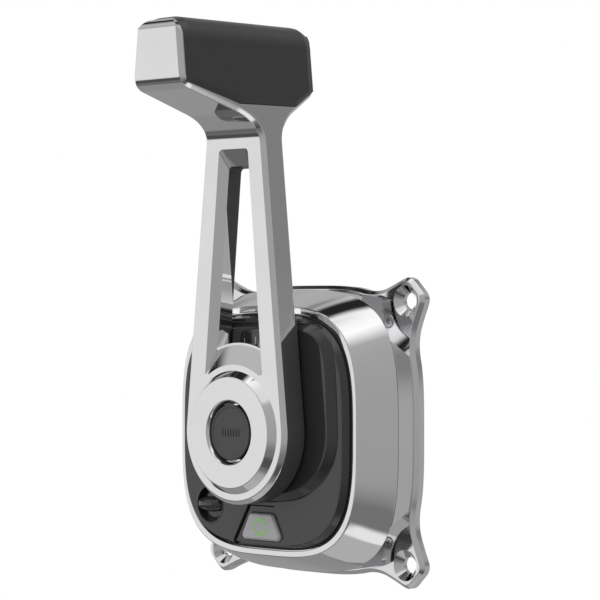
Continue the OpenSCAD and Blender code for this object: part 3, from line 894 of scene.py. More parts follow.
@dataclass
class FacePanel:
    """The gloss black face, the raised boss behind the lever and the index marks on it."""

    half: float = 58.6
    flange_half: float = 61.2
    flange_z: float = 35.5
    flange_top: float = 37.7
    face_z: float = 42.9
    boss_z: float = 46.7
    boss_half: float = 55.6
    boss_mid: float = 2.0
    boss_up: float = 55.0
    boss_down: float = 38.4
    boss_lean: float = 0.05
    boss_slope: float = 4.0
    inside_half: float = 53.5
    inside_z: float = 40.4
    shaft_hole_r: float = 20.1

    def boss_outline(self, d: float) -> Array:
        """Outline |x/a|^n + |y/b|^n = 1, with n 6 above the middle and 2.45 below, narrowing upwards.

        Args:
            d: how far the outline stands in from the boss's foot.
        Returns:
            The outline.
        """
        a = np.linspace(0, 2 * np.pi, 16384, endpoint=False)
        top = np.sin(a) >= 0
        n = np.where(top, 6, 2.45)
        tall = np.where(top, self.boss_up, self.boss_down) - d
        y = np.sign(np.sin(a)) * np.abs(np.sin(a)) ** (2 / n) * tall
        x = np.sign(np.cos(a)) * np.abs(np.cos(a)) ** (2 / n) * (self.boss_half - d)
        x = x * (1 - np.where(top, self.boss_lean * y / self.boss_half, 0))
        return even(np.stack([x, self.boss_mid + y], -1), FINE)

    def build_face(self, trim: Trim) -> None:
        """Makes the face plate with its openings for the start button, the safety switch and the shaft.

        Args:
            trim: dresses the finished pieces.
        """
        wide, half, top, face = self.flange_half, self.half, self.flange_top, self.face_z
        profile = softened(
            [[wide, self.flange_z], [wide, top], [half + 1.8, top + 0.2], [half + 1.6, face - 3.4],
             [half, face - 0.1], [half - 1.2, face], [half - 3, face]],
            [0, 0.2, 0.15, 0.3, 0.3, 0.3, 0], 4,
        )
        panel = mesh_object("face_panel", stack(layered(profile, squircle)))
        machined(panel, prism(squircle(self.inside_half, count=192), self.flange_z - 1, self.inside_z))
        low = self.inside_z - 1.4
        edge = even(softened(SURROUND, 0.5, 3, closed=True), 360)
        walls = [(0, low), (0, face - 0.2), (-0.2, face), (-1.2, face + 1)]
        openings = stack(layered(walls, lambda d: inset(edge, d)))
        openings += turned([[BOWL_R, low], [BOWL_R, face + 1]], BOWL_AT)
        openings += turned([[self.shaft_hole_r, low], [self.shaft_hole_r, face + 1]])
        machined(panel, openings)
        trim.fit(panel, "housing", "gloss_black", "face_plate")

    def build_boss(self, trim: Trim) -> None:
        """Makes the boss and the marks on its front, one each ten degrees.

        Args:
            trim: dresses the finished pieces.
        """
        low, high, run = self.face_z, self.boss_z, self.boss_slope
        profile = softened(
            [[0, low - 0.4], [0.3, low + 0.5], [run - 0.4, high - 0.3], [run, high], [run + 1.5, high]],
            [0, 0.4, 0.5, 0.3, 0], 4,
        )
        boss = mesh_object("lever_boss", stack(layered(profile, self.boss_outline)))
        machined(boss, turned([[12, low - 1], [12, high + 1]]))
        trim.fit(boss, "housing", "gloss_black", "boss_cover")
        marks = joined(self.mark(angle) for angle in range(-20, 21, 10))
        trim.fit(mesh_object("index_marks", marks), "housing", "button_grey")

    def mark(self, angle: int) -> Shell:
        """A plain stroke at an angle in degrees round the shaft, longer and wider in the middle.

        Args:
            angle: angle from the upright in degrees.
        Returns:
            The stroke.
        """
        w, low, high = (0.25, 46, 49) if angle else (0.45, 43.5, 49)
        stroke = softened([[w, low], [w, high], [-w, high], [-w, low]], 0.15, 2, closed=True)
        t = math.radians(angle)
        stroke = stroke @ np.array([[math.cos(t), -math.sin(t)], [math.sin(t), math.cos(t)]])
        return slab(stroke, self.boss_z - 0.2, self.boss_z + 0.08, 0.04, 2)

    def build(self, trim: Trim) -> None:
        """Makes the face and the boss."""
        self.build_face(trim)
        self.build_boss(trim)


# Switches


@dataclass
class StartButton:
    """The start button, its lit mark and the black plate round it."""

    low: float = 36.9
    high: float = 43.5
    mark_y: float = -49.6
    mark_r: float = 4.1
    points: tuple[Pair, ...] = (
        (7.6, -42.4), (-7.6, -42.4), (-8.9, -43.4), (-14, -53.4), (-13.9, -55.2), (-12.4, -56.6),
        (12.4, -56.6), (13.9, -55.2), (14, -53.4), (8.9, -43.4),
    )
    surround_low: float = 37.7
    surround_high: float = 41.5

    def outline(self, d: float) -> Array:
        """The button's edge with soft corners, moved inwards by d."""
        return inset(even(softened(self.points, 0.65, 6, closed=True), 240), d)

    def half_mark(self, start: float) -> Shell:
        """Half of the mark's ring: a rounded section carried along an arc that starts at an angle.

        Args:
            start: angle in degrees at which it starts.
        Returns:
            Half of the ring.
        """
        section = softened([[0.4, 0], [0.4, 0.15], [-0.4, 0.15], [-0.4, 0]], 0.06, 2, closed=True)
        a = np.radians(np.linspace(start, start + 156, 48))[:, None]
        r = self.mark_r + section[None, :, 0]
        height = np.broadcast_to(self.high + section[None, :, 1], (len(a), len(section)))
        return stack(np.stack([r * np.cos(a), self.mark_y + r * np.sin(a), height], -1))

    def build(self, trim: Trim) -> None:
        """Makes the button, its mark and its surround.

        Args:
            trim: dresses the finished pieces.
        """
        low, high = self.low, self.high
        profile = softened([[0, low], [0, high - 0.9], [0.9, high], [1.6, high]], 0.35, 4)
        stem = prism([[8, -53.5], [8, -45.5], [-8, -45.5], [-8, -53.5]], low - 2.4, low + 0.1)
        key = mesh_object("start_key", stack(layered(profile, self.outline)) + stem)
        trim.fit(key, "start_button", "button_grey", "start_button")
        mark = mesh_object("start_mark", self.half_mark(12) + self.half_mark(192))
        trim.fit(mark, "start_button", "icon_green", "start_icon")
        edge = inset(even(softened(SURROUND, 0.7, 5, closed=True), 360), 0.45)
        plate = mesh_object("start_surround_plate", slab(edge, self.surround_low, self.surround_high, 0.3))
        low, high = self.surround_low - 1.7, self.surround_high + 2.5
        machined(plate, prism(squircle(58.4), low, high), "INTERSECT")
        machined(plate, prism(self.outline(-0.4), low, high))
        trim.fit(plate, "housing", "gloss_black", "start_surround")


@dataclass
class SafetySwitch:
    """The round bowl to the left of the hub and the barrel-shaped bar that turns in it."""

    at: Pair = BOWL_AT
    bar_half: float = 9.0
    bar_z: float = 41.6

    def bar(self) -> Shell:
        """A barrel along x: radius (4.1 - 1.5 t^2) (1 - |t|^9)^(1/2), t from end to end.

        Returns:
            The barrel.
        """
        rows, columns = 49, 64
        t = np.sin(np.linspace(-1, 1, rows) * math.pi / 2 * 0.995)
        r = (4.1 - 1.5 * t * t) * np.sqrt(1 - np.abs(t) ** 9)
        a = np.linspace(0, 2 * np.pi, columns, endpoint=False)
        x = np.broadcast_to(self.at[0] + self.bar_half * t[:, None], (rows, columns))
        y, z = self.at[1] + r[:, None] * np.cos(a), self.bar_z + r[:, None] * np.sin(a)
        return stack(np.stack([x, y, z], -1))

    def build(self, trim: Trim) -> None:
        """Makes the bowl and the turning bar.

        Args:
            trim: dresses the finished pieces.
        """
        bowl = softened(
            [[2.8, 29.5], [6, 29.5], [6, 32.5], [8.9, 32.5], [8.9, 35.5], [BOWL_R, 35.5],
             [BOWL_R, 43.1], [9.5, 43.1], [9.4, 38.4], [8.4, 37.4], [2.8, 37.4]],
            [0.1, 0.1, 0.1, 0.1, 0.1, 0.1, 0.25, 0.25, 0.6, 0.6, 0.1], 4, closed=True,
        )
        ring = mesh_object("switch_bowl", turned(bowl, self.at, hollow=True))
        trim.fit(ring, "housing", "gloss_black", "safety_bowl")
        disc = softened([[2.5, 30], [2.5, 37.8], [8.3, 37.8], [8.3, 39.4], [7.0, 39.8], [3, 39.8]], 0.2, 3)
        knob = machined(mesh_object("switch_bar", turned(disc, self.at)), self.bar(), "UNION")
        trim.fit(knob, "safety_knob", "gloss_black", "safety_knob")


# Lever


@dataclass
class Lever:
    """The slotted chrome arm with the grip's core, its rubber saddle and the cover behind its hub."""

    hub_r: float = 37.2
    back: float = 47.2
    front: float = 62.7
    lean: float = math.radians(5.96)
    edge: float = 2.0
    joint_y: float = 147.0
    grip_top: float = 209.2
    grip_back: float = 21.7
    grip_front: float = 115.5
    top_r: float = 13.0
    rear_r: float = 9.0
    nose_r: float = 6.0
    slot_half: float = 10.6
    slot_top: float = 145.4
    slot_lean: float = 0.0894
    cover_front: float = 60.4
    cover_low_r: float = 65.3
    cover_high_r: float = 56.6
    back_panel_z: float = 57.7
    rubber_t: float = 2.6
    proud: float = 1.3
    rim: Pair = (3.0, 4.6)
    saddle_z: Pair = (23.1, 112.7)
    saddle_low: tuple[Pair, ...] = (
        (23.1, 176.1), (29.6, 171.7), (37.3, 167.3), (77.2, 166.9), (84.3, 168.8), (98.5, 172.5),
        (112.7, 176.2),
    )

    def half(self, y: float | Array, inwards: float | Array = 0.0) -> float | Array:
        """Half width (R - d - y sin a) / cos a: a side that leans by a and touches the circle R - d."""
        return (self.hub_r - inwards - y * math.sin(self.lean)) / math.cos(self.lean)

    def edge_profile(self) -> Array:
        """The chamfer along every long edge, as distances (from the side, from the front)."""
        e = self.edge
        return softened([[0, e + 0.8], [0, e], [e, 0], [e + 0.8, 0]], 0.4, 3)

    def keyhole(self, d: float) -> Array:
        """The hub's circle R - d with the two sides that touch it, up to the joint with the grip.

        Args:
            d: how far the outline stands in from the arm's side.
        Returns:
            The outline, from its upper right corner.
        """
        lean = math.degrees(self.lean)
        x = self.half(self.joint_y, d)
        circle = arc((0, 0), self.hub_r - d, 180 - lean, 360 + lean, 160)
        return np.concatenate([[[x, self.joint_y], [-x, self.joint_y]], circle])

    def side(self) -> Array:
        """Side outline (y, z) of the grip from the arm's back round the top to the arm's front.

        Returns:
            The outline as a line of points.
        """
        top, rear, nose = self.grip_top, self.grip_back, self.grip_front
        return np.concatenate([
            np.linspace([self.joint_y, self.back], [148, self.back], 4)[:-1],
            bend([148, self.back], [158.6, self.back], [165.2, 36.5], 22),
            bend([172.2, 25.8], [174.6, rear], [180, rear], 12),
            arc((top - self.rear_r, rear + self.rear_r), self.rear_r, -90, 0, 18),
            arc((top - self.nose_r, nose - self.nose_r), self.nose_r, 0, 90, 14),
            bend([181.2, nose], [174.6, nose], [172.6, 109], 14),
            bend([163.4, 79.4], [158.2, self.front], [148, self.front], 26),
            np.linspace([148, self.front], [self.joint_y, self.front], 4)[1:],
        ])

    def arm_shell(self) -> Shell:
        """The arm as a stack over its front outline, joined to the grip as a stack over its side outline.

        Returns:
            The block of arm and grip.
        """
        profile = self.edge_profile()
        back = [(d, self.back + e) for d, e in profile[::-1]]
        front = [(d, self.front - e) for d, e in profile]
        rings = layered(back + front, self.keyhole)
        count, n = rings.shape[:2]
        quads = grid_faces(count, n, False, True)
        ends = [np.arange(n)[None], (count - 1) * n + np.arange(n)[None]]
        arm = Shell(rings.reshape(-1, 3), [quads[quads[:, 0] % n != 0], *ends])
        side = self.side()
        outlines = np.stack([inset(side, e, open_ends=True) for e in profile[:, 1]])
        reach = self.half(outlines[..., 0], profile[:, :1])
        x = np.concatenate([reach, -reach[::-1]])
        plan = np.concatenate([outlines, outlines[::-1]])
        rows, m = x.shape
        faces = [grid_faces(rows, m, False, False), np.arange(m)[None], (rows - 1) * m + np.arange(m)[None]]
        return arm + Shell(np.concatenate([x[..., None], plan], -1).reshape(-1, 3), faces)

    def slot_rings(self, grow: float, foot: float) -> Shell:
        """The slot through the arm: wide at the front, stepping in to a narrower back.

        Args:
            grow: how far the slot is widened on every side.
            foot: height of its lower end.
        Returns:
            The slot's space.
        """

        def ring(z: float, narrow: float, top: float, more: float) -> Array:
            """One level: sides that lean and stand closer in by `narrow`, under a top with round corners.

            Args:
                z: the level's height.
                narrow: how far its sides stand in.
                top: height of its upper end.
                more: what it has more on every side.
            Returns:
                The level's outline.
            """
            ends = self.slot_half + self.slot_lean * (self.slot_top - np.array([top, foot]))
            w = ends - narrow + grow + more
            r, y = 2.4 + max(grow, 0), top + grow + more
            corners = [arc((w[0] - r, y - r), r, 0, 90, 9), arc((r - w[0], y - r), r, 90, 180, 9)]
            return lifted(np.concatenate([[[-w[1], foot], [w[1], foot]], *corners]), z)

        levels = [
            (self.back - 0.3, 1.4, 136, 0.5), (self.back + 0.3, 1.4, 136, 0),
            (self.back_panel_z, 2.9, 136.8, 0), (self.front - 0.35, 0.1, 145, 0),
            (self.front + 0.4, 0, self.slot_top, 0.6),
        ]
        return stack(np.stack([ring(*level) for level in levels]))

    def slot_corner(self, side: int) -> Shell:
        """The flat corner between a wall of the slot and the cone at its foot.

        Args:
            side: -1 for the left wall and 1 for the right one.
        Returns:
            A block whose upper face runs from the wall down to the cone.
        """
        rings = []
        for z in (64.5, 55.0):
            cone_r = 34.8 + (self.front - z) * 10 / 4.2
            outer = 20.6 - max(self.front - z, 0) * 0.56
            inner = outer - 2.5
            high = np.array([outer, math.sqrt(cone_r**2 - outer**2) + 1.9])
            low = np.array([inner, math.sqrt(cone_r**2 - inner**2)])
            step = low - high
            past = low + step * 0.8
            outline = np.array([high - step, past, past - [0, 9], high - step - [0, 14]])
            rings.append(lifted(outline * np.array([side, 1]), z))
        return stack(np.stack(rings))

    def slot(self) -> Object:
        """The slot's space, ended by the cone at its foot and the two flat corners beside it.

        Returns:
            The space as an object.
        """
        cone = [[46, self.back - 2], [46, 58.7], [44.8, 58.5], [34.8, self.front], [32.2, 63.8]]
        slot = machined(mesh_object("slot", self.slot_rings(0, 26)), turned(cone, steps=BROAD))
        for side in (-1, 1):
            machined(slot, self.slot_corner(side))
        return slot

    def cover_cone(self, gap: float) -> Shell:
        """The cone that bounds the cover's space, or the cover itself with a gap round it.

        Args:
            gap: how far it stands in from the arm.
        Returns:
            The cone.
        """
        low_r, high_r = self.cover_low_r - gap, self.cover_high_r - gap
        low, high = self.back - 0.1, self.cover_front + gap / 10
        return turned([[low_r, self.back - 1], [low_r, low], [high_r, high]], steps=BROAD)

    def saddle_seat(self) -> Object:
        """The saddle's space: the grip between the saddle's two ends, less the chrome core.

        Returns:
            The space as an object.
        """
        rear, nose = self.saddle_z
        zone = side_prism(
            [[176.2, nose], [168.8, 84.3], [166.8, 77.2], [167.2, 37.3], [176.1, rear], [215, rear],
             [215, nose]], 40
        )
        corner_y, t = self.grip_top - self.top_r, self.rubber_t
        corner = arc((self.half(corner_y) - self.top_r, corner_y), self.top_r - t, 0, 90, 16)
        foot = self.half(150) - t
        core = np.concatenate([[[-foot, 150], [foot, 150]], corner, corner[::-1] * MIRROR])
        return machined(mesh_object("zone", zone), prism(core, 0, 130))

    def build_arm(self, trim: Trim) -> None:
        """Makes the arm: the block less its slot, the cover's space, the saddle's space and the bore.

        Args:
            trim: dresses the finished pieces.
        """
        arm = mesh_object("lever_frame", self.arm_shell())
        corner_y, over = self.grip_top - self.top_r, self.grip_top + 5
        x = self.half(corner_y)
        curve = arc((x - self.top_r, corner_y), self.top_r + 0.02, 0, 90, 24)
        right = np.concatenate([curve, [[x - self.top_r, over], [x + 5, over], [x + 5, corner_y]]])
        machined(arm, prism(right, 0, 130) + prism((right * MIRROR)[::-1], 0, 130))
        machined(arm, self.slot())
        machined(arm, machined(mesh_object("space", self.cover_cone(0)), self.slot_rings(4, 24)))
        machined(arm, self.back_panel(0))
        machined(arm, self.saddle_seat())
        z = np.linspace(self.saddle_z[0] + 0.06, self.grip_back + self.rear_r, 10)
        rear = np.stack([self.top_at(z) - self.rubber_t, z], -1)
        machined(arm, side_prism(np.concatenate([rear, [[214, z[-1]], [214, z[0]]]]), 40))
        machined(arm, turned([[20, 40], [20, self.front + 1]]))
        trim.fit(arm, "lever", "satin_chrome", "lever_arm", crease=20)

    def top_at(self, z: Array) -> Array:
        """Height of the grip's top at z, which falls off in a quarter circle at each end.

        Args:
            z: places across the grip.
        Returns:
            The heights of the top there.
        """
        nose, heel = self.nose_r, self.rear_r
        front = np.maximum(z - (self.grip_front - nose), 0)
        rear = np.maximum(self.grip_back + heel - z, 0)
        rounds = np.sqrt(nose**2 - front**2) - nose + np.sqrt(heel**2 - rear**2) - heel
        return self.grip_top + rounds

    def back_panel(self, gap: float) -> Object:
        """The space of the grey panel in the arm's back: a plate that thins out downwards.

        Args:
            gap: how far it stands in from the arm.
        Returns:
            The space as an object.
        """
        high, low = 141.0 - gap, 66.0 + gap
        x_high, x_low = self.half(high) - 2.2 - gap, self.half(low) - 2.2 - gap
        outline = [[x_high, high], [-x_high, high], [-x_low, low], [x_low, low]]
        panel = mesh_object("back_panel", prism(outline, self.back - 1 + gap, self.back_panel_z - gap))
        below, above = self.back - 2, self.back_panel_z + 2.3
        slope = np.array([[40, below], [55.5, below], [126, above], [40, above]])
        return machined(panel, side_prism(slope + [gap, 0], 60))

    def build_back_panel(self, trim: Trim) -> None:
        """Makes the grey panel in the arm's back, whose inner edge is the deeper wall of the slot.

        Args:
            trim: dresses the finished pieces.
        """
        panel = machined(self.back_panel(0.04), self.slot_rings(0, 26))
        panel.name = "arm_back_panel"
        machined(panel, prism([[-60, 0], [60, 0], [60, 200], [-60, 200]], self.back - 3, self.back + 0.3))
        trim.fit(panel, "lever", "cap_grey", crease=20)

    def build_cover(self, trim: Trim) -> None:
        """Makes the dark cover behind the hub: the keyhole within a cone, cleared round the slot.

        Args:
            trim: dresses the finished pieces.
        """
        low, high = self.back, self.cover_front
        profile = softened([[2, low], [1, low], [0, low + 1], [0.02, high]], 0.4, 4)
        cover = mesh_object("hub_back_cover", stack(layered(profile, self.keyhole)))
        machined(cover, self.cover_cone(0.1), "INTERSECT")
        machined(cover, self.slot_rings(4.05, 24))
        machined(cover, turned([[26.2, 40], [26.2, 70]]))
        trim.fit(cover, "lever", "moulded_black", "lever_back_cover", crease=20)

    def saddle(self) -> Shell:
        """The rubber: at each station along z, a U over the grip and back inside it, sunk at every rim.

        The outer line goes up a side at half(y) + p, round the corner's circle and over the top. p falls
        from `proud` to below the chrome near each rim, in a long and then a short chamfer.

        Returns:
            The rubber as one closed shell.
        """

        def fall(run: Array, width: float) -> Array:
            """How proud the rubber stands at a distance from its rim, whose chamfers are `width` wide."""
            return np.interp(run, [0, 0.6, width], [-0.5, 0.1, self.proud])

        def crown(more: float | Array) -> Array:
            """Corner and top: a circle s held under the height l by s l / (s^12 + l^12)^(1/12).

            Args:
                more: what the circle's radius and the height have more.
            Returns:
                Points (x, y) from the side round to the top.
            """
            s, level = (r + more) * np.sin(a), lift + more
            rise = s * level / (s**12 + level**12) ** (1 / 12)
            across = self.half(corner_y) - r + (r + more) * np.cos(a)
            return np.stack([np.broadcast_to(across, rise.shape), corner_y + rise], -1)

        rim, end_rim = self.rim
        corner_y, r, t = self.grip_top - self.top_r, self.top_r, self.rubber_t
        end = np.array([0, 0.3, 0.6, end_rim / 2, end_rim - 0.15])
        rear, nose = self.saddle_z
        middle = np.linspace(rear + end_rim + 0.15, nose - end_rim - 0.15, 58)
        z = np.concatenate([rear + end, middle, nose - end[::-1]])
        ends = fall(np.minimum(z - z[0], z[-1] - z), end_rim)[:, None]
        low = np.interp(z, *np.transpose(self.saddle_low))[:, None]
        run = np.concatenate([[0, 0.3, 0.6, rim / 2, rim - 0.15, rim + 0.15], np.linspace(4.5, 30, 10)])
        spread = rim + (run - rim) / (30 - rim) * (corner_y - low - rim)
        y = low + np.where(run <= rim, run, spread)
        p = np.minimum(fall(run, rim), ends)
        a = np.radians(np.linspace(0, 90, 19))[1:]
        lift = (self.top_at(z) - corner_y)[:, None]
        outer = np.concatenate([np.stack([self.half(y) + p, y], -1), crown(ends)], 1)
        inner = np.concatenate([np.stack([self.half(y) - t + 0.05, y], -1), crown(0.05 - t)], 1)
        loop = np.concatenate([outer, outer[:, -2::-1] * MIRROR, inner * MIRROR, inner[:, -2::-1]], 1)
        level = np.broadcast_to(z[:, None, None], loop.shape[:2] + (1,))
        return stack(np.concatenate([loop, level], -1))

    def build(self, trim: Trim) -> None:
        """Makes the lever's pieces.

        Args:
            trim: dresses the finished pieces.
        """
        self.build_arm(trim)
        self.build_cover(trim)
        self.build_back_panel(trim)
        trim.fit(mesh_object("grip_saddle", self.saddle()), "lever", "grip_rubber", "grip_cover", crease=12)


@dataclass
class Hub:
    """The bright ring on the hub and the release button inside it."""

    foot_r: float = 31.7
    top_r: float = 28.5
    foot_z: float = 62.7
    top_z: float = 66.2
    recess_r: float = 16.3
    cap_r: float = 14.2
    cap_z: float = 65.0

    def ridges(self) -> Shell:
        """Seven short upright ridges across the button, for the thumb.

        Returns:
            The ridges as one shell.
        """
        ridge = softened([[0.45, -1.9], [0.45, 1.9], [-0.45, 1.9], [-0.45, -1.9]], 0.42, 4, closed=True)
        low, high = self.cap_z - 0.4, self.cap_z + 0.12
        return joined(slab(ridge + np.array([x, 0]), low, high, 0.12, 3) for x in np.linspace(-6, 6, 7))

    def build(self, trim: Trim) -> None:
        """Makes the ring and the button.

        Args:
            trim: dresses the finished pieces.
        """
        r, top = self.recess_r, self.top_z
        ring = softened(
            [[self.foot_r, self.foot_z], [self.top_r, top], [r + 0.5, top], [r, top - 0.5], [r - 1.0, 63.6],
             [r - 1.0, 59.9], [5.2, 59.9], [5.2, 58.9], [19.9, 58.9], [19.9, self.foot_z]],
            [0.02, 0.35, 0.2, 0.2, 0.2, 0.2, 0.05, 0.05, 0.1, 0.02], 4, closed=True,
        )
        cone = mesh_object("hub_cone_ring", turned(ring, hollow=True, steps=BROAD))
        trim.fit(cone, "lever", "satin_chrome", "hub_ring", crease=20)
        r, top = self.cap_r, self.cap_z
        cap = softened(
            [[1.5, 54.7], [4.8, 54.7], [4.8, 62.8], [r, 62.8], [r, top], [r - 1.2, top],
             [r - 1.5, top - 0.25], [5, top - 0.25]],
            [0, 0.2, 0.1, 0.2, 0.45, 0.1, 0.1, 0], 4,
        )
        button = mesh_object("release_button", turned(cap, steps=192))
        trim.fit(button, "release_cap", "cap_grey", "release_cap")
        trim.fit(mesh_object("release_ridges", self.ridges()), "release_cap", "cap_grey")


# Studio


@dataclass(frozen=True)
class Lamp:
    """A square soft lamp, of a width and radiance, that lights the object and isn't mirrored in it."""

    name: str
    place: tuple[float, float, float]
    size: float
    radiance: float


@dataclass(frozen=True)
class Panel:
    """A soft-edged panel on the room's wall, which the chrome mirrors: in degrees, with a grey level."""

    azimuth: float
    elevation: float
    half_width: float
    half_height: float
    soft: float
    level: float

    def axes(self) -> tuple[Vector, Vector, Vector]:
        """Unit vectors towards the panel, along its width and up its height.

        Returns:
            The three vectors.
        """
        a, e = math.radians(self.azimuth), math.radians(self.elevation)
        ahead = Vector((math.cos(a) * math.cos(e), math.sin(a) * math.cos(e), math.sin(e)))
        side = Vector((-math.sin(a), math.cos(a), 0))
        return ahead, side, ahead.cross(side)


class Walls:
    """Lays out the nodes of the room that the object stands in."""

    def __init__(self) -> None:
        """Starts the world and its direction of view."""
        world = bpy.data.worlds.new("room")
        bpy.context.scene.world = world
        world.use_nodes = True
        self.tree = world.node_tree
        self.way = self.tree.nodes.new("ShaderNodeTexCoord").outputs["Generated"]
        self.light = self.tree.nodes["Background"].inputs["Color"]

    def math(self, operation: str, *values: object) -> Socket:
        """One step of arithmetic on sockets and numbers.

        Args:
            operation: the step's name.
            values: sockets and numbers that it takes.
        Returns:
            The result.
        """
        made = self.tree.nodes.new("ShaderNodeMath")
        made.operation = operation
        for socket, value in zip(made.inputs, values):
            if isinstance(value, Socket):
                self.tree.links.new(value, socket)
            else:
                socket.default_value = value
        return made.outputs[0]

    def along(self, axis: Vector) -> Socket:
        """How far the direction of view goes along an axis.

        Args:
            axis: the axis, a unit vector.
        Returns:
            The result, from -1 to 1.
        """
        made = self.tree.nodes.new("ShaderNodeVectorMath")
        made.operation = "DOT_PRODUCT"
        self.tree.links.new(self.way, made.inputs[0])
        made.inputs[1].default_value = axis
        return made.outputs["Value"]

    def inside(self, angle: Socket, half: float, soft: float) -> Socket:
        """1 where |angle| is under half - soft, 0 above half + soft, and a smooth step between.

        Args:
            angle: the angle in radians.
            half: the limit in degrees.
            soft: half the step's width in degrees.
        Returns:
            The result, from 0 to 1.
        """
        made = self.tree.nodes.new("ShaderNodeMapRange")
        made.interpolation_type = "SMOOTHSTEP"
        self.tree.links.new(self.math("ABSOLUTE", angle), made.inputs["Value"])
        edges = (math.radians(half - soft), math.radians(half + soft), 1, 0)
        for key, number in zip(("From Min", "From Max", "To Min", "To Max"), edges):
            made.inputs[key].default_value = number
        return made.outputs["Result"]

    def ramp(self, levels: tuple[Pair, ...]) -> Socket:
        """Grey levels by elevation, given as pairs of an elevation in degrees and a level.

        Args:
            levels: the pairs, from the lowest elevation up.
        Returns:
            The colour.
        """
        elevation = self.math("ARCSINE", self.along(Vector((0, 0, 1))))
        share = self.math("MULTIPLY_ADD", elevation, 1 / math.pi, 0.5)
        made = self.tree.nodes.new("ShaderNodeValToRGB")
        self.tree.links.new(share, made.inputs["Fac"])
        while len(made.color_ramp.elements) < len(levels):
            made.color_ramp.elements.new(0.5)
        for element, (at, level) in zip(made.color_ramp.elements, levels):
            element.position, element.color = at / 180 + 0.5, (level, level, level, 1)
        return made.outputs["Color"]

    def hang(self, colour: Socket, panel: Panel) -> Socket:
        """The walls' colour with a panel laid over it.

        Args:
            colour: the walls' colour so far.
            panel: the panel.
        Returns:
            The new colour.
        """
        ahead, side, up = panel.axes()
        across = self.math("ARCTAN2", self.along(side), self.along(ahead))
        rise = self.math("ARCSINE", self.along(up))
        width = self.inside(across, panel.half_width, panel.soft)
        height = self.inside(rise, panel.half_height, panel.soft)
        share = self.math("MULTIPLY", width, height)
        mix = self.tree.nodes.new("ShaderNodeMix")
        mix.data_type = "RGBA"
        self.tree.links.new(share, mix.inputs[0])
        self.tree.links.new(colour, mix.inputs[6])
        mix.inputs[7].default_value = (panel.level, panel.level, panel.level, 1)
        return mix.outputs[2]


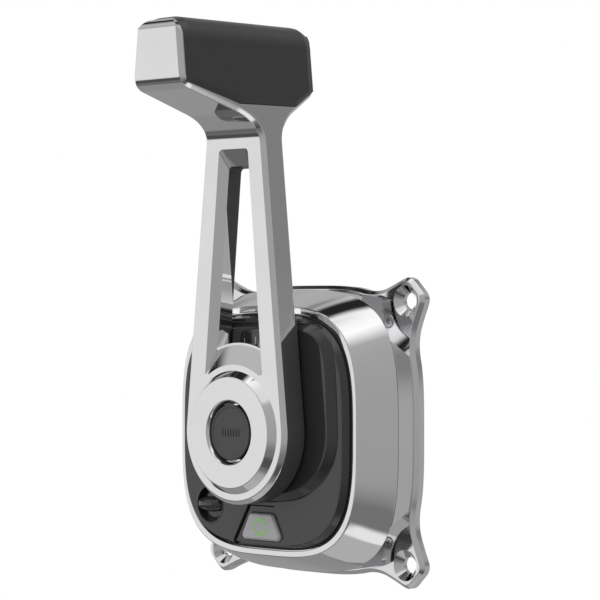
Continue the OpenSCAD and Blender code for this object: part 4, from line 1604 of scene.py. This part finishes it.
@dataclass
class Studio:
    """The camera, the soft lamps, the grey room, the pale floor and the white backdrop."""

    eye: tuple[float, float, float] = (1.0, -1.0143, 0.0654)
    heading: float = math.radians(45)
    pitch: float = math.radians(0.1065)
    lens: float = 161.4
    target: tuple[float, float, float] = (0.0, -0.05, 0.06)
    wall_levels: tuple[Pair, ...] = (
        (-90, 0.45), (-64, 0.45), (-57, 0.2), (-27, 0.2), (-12, 0.38), (0, 0.4), (30, 0.44), (42, 0.48),
        (53, 0.95), (62, 1.25), (76, 1.15), (90, 0.9),
    )
    panels: tuple[Panel, ...] = (
        Panel(110, -28, 85, 24, 6, 0.42),
        Panel(14, -60, 14, 9, 4, 0.95),
        Panel(-50, -45, 18, 8, 4, 0.09),
        Panel(-95, 60, 30, 8, 6, 0.85),
        Panel(45, 14, 25, 9, 6, 0.25),
        Panel(135, 3, 14, 6, 3, 0.2),
        Panel(178, 30, 27, 24, 6, 0.01),
        Panel(150, 67, 38, 12, 6, 0.02),
        Panel(143, 37, 24, 11, 5, 0.48),
        Panel(-130, 34, 24, 12, 7, 0.56),
        Panel(-160, -50, 60, 20, 5, 0.3),
        Panel(-153, -38, 7, 6, 4, 0.14),
        Panel(140, -23, 10, 7, 4, 0.33),
        Panel(-155, -24, 36, 7, 4, 0.08),
        Panel(-153, -1, 31, 15, 3, 0.86),
    )
    lamps: tuple[Lamp, ...] = (
        Lamp("key", (-1.15, -1.25, 0.25), 1.5, 0.8),
        Lamp("fill", (-0.3, -2.0, 1.0), 1.6, 1.2),
        Lamp("side_fill", (2.0, -0.2, 0.6), 1.6, 0.8),
        Lamp("rear_fill", (-1.0, 2.0, 0.6), 1.6, 0.8),
    )

    def build_camera(self) -> None:
        """Makes the camera and makes it the scene's own."""
        data = bpy.data.cameras.new("camera")
        data.lens, data.sensor_width, data.clip_start = self.lens, 36, 0.01
        camera = bpy.data.objects.new("camera", data)
        camera.location = self.eye
        camera.rotation_euler = (math.pi / 2 + self.pitch, 0, self.heading)
        bpy.context.scene.collection.objects.link(camera)
        bpy.context.scene.camera = camera

    def build_lamps(self) -> None:
        """Makes the lamps, aimed at the object (power = radiance x pi x area)."""
        for lamp in self.lamps:
            data = bpy.data.lights.new(lamp.name, "AREA")
            data.shape, data.size = "SQUARE", lamp.size
            data.energy = lamp.radiance * math.pi * lamp.size**2
            obj = bpy.data.objects.new(lamp.name, data)
            obj.location = lamp.place
            aim = Vector(self.target) - Vector(lamp.place)
            obj.rotation_euler = aim.to_track_quat("-Z", "Y").to_euler()
            obj.visible_camera = obj.visible_glossy = False
            bpy.context.scene.collection.objects.link(obj)

    def build_world(self) -> None:
        """A grey room with a bright ceiling, a tall pale window to the front left and darker walls behind."""
        walls = Walls()
        colour = walls.ramp(self.wall_levels)
        for panel in self.panels:
            colour = walls.hang(colour, panel)
        walls.tree.links.new(colour, walls.light)

    def build_stage(self) -> None:
        """Makes the pale floor well below the object and the white backdrop behind it."""
        floor = flat_sheet("floor", (0, 0, -1.1), (0.45, 0, 0), (0, 0.45, 0))
        floor.data.materials.append(self.pale("floor_pale", 0.5))
        away = np.array([-math.sin(self.heading), math.cos(self.heading), 0])
        across = np.array([math.cos(self.heading), math.sin(self.heading), 0])
        centre = np.array(self.eye) + 12 * away
        backdrop = flat_sheet("backdrop", centre, across * 1.5, (0, 0, 1.5))
        backdrop.data.materials.append(self.pale("backdrop_white", 1.0))

    def pale(self, name: str, strength: float) -> bpy.types.Material:
        """White of a given strength to the camera and in reflections, and plain pale to other rays.

        Args:
            name: the material's name.
            strength: how white it is, where 1 is white.
        Returns:
            The material.
        """
        bench = Bench(name)
        link = bench.tree.links.new
        rays = bench.node("LightPath")
        seen = rays.outputs["Is Camera Ray"]
        for ray in ("Is Glossy Ray", "Is Transmission Ray"):
            most = bench.node("Math", {"operation": "MAXIMUM"})
            link(seen, most.inputs[0])
            link(rays.outputs[ray], most.inputs[1])
            seen = most.outputs[0]
        bench.shader.inputs["Base Color"].default_value = (0.9, 0.9, 0.9, 1)
        white = bench.node("Emission", Color=(1, 1, 1, 1), Strength=strength)
        mix = bench.node("MixShader")
        link(seen, mix.inputs[0])
        link(bench.shader.outputs[0], mix.inputs[1])
        link(white.outputs[0], mix.inputs[2])
        output = next(n for n in bench.tree.nodes if n.type == "OUTPUT_MATERIAL")
        link(mix.outputs[0], output.inputs["Surface"])
        return bench.material

    def build(self) -> None:
        """Makes the whole studio."""
        self.build_camera()
        self.build_lamps()
        self.build_world()
        self.build_stage()
        bpy.context.scene.view_settings.view_transform = "Standard"


def flat_sheet(name: str, centre: Array, across: Array, up: Array) -> Object:
    """A flat sheet centre + u across + v up, for u and v from -1 to 1, in model metres.

    Args:
        name: the sheet's name.
        centre: its middle.
        across: from its middle to its right edge.
        up: from its middle to its upper edge.
    Returns:
        The sheet, linked to the scene.
    """
    u, v = np.meshgrid(np.linspace(-1, 1, 5), np.linspace(-1, 1, 5))
    points = np.array(centre) + u[..., None] * np.array(across) + v[..., None] * np.array(up)
    mesh = bpy.data.meshes.new(name)
    mesh.from_pydata(points.reshape(-1, 3).tolist(), [], grid_faces(5, 5, False, False).tolist())
    obj = bpy.data.objects.new(name, mesh)
    bpy.context.scene.collection.objects.link(obj)
    return obj


def main() -> None:
    """Builds the studio, then each sub-assembly in order, and reports it."""
    logging.basicConfig(level=logging.INFO, format="%(name)s: %(message)s")
    Studio().build()
    trim = Trim()
    assemblies = (
        MountingPlate(), Pedestal(), Bezel(), FacePanel(), StartButton(), SafetySwitch(), Lever(), Hub()
    )
    for assembly in assemblies:
        log.info("building %s", type(assembly).__name__)
        assembly.build(trim)
    trim.dress_cad()


if __name__ == "__main__":
    main()
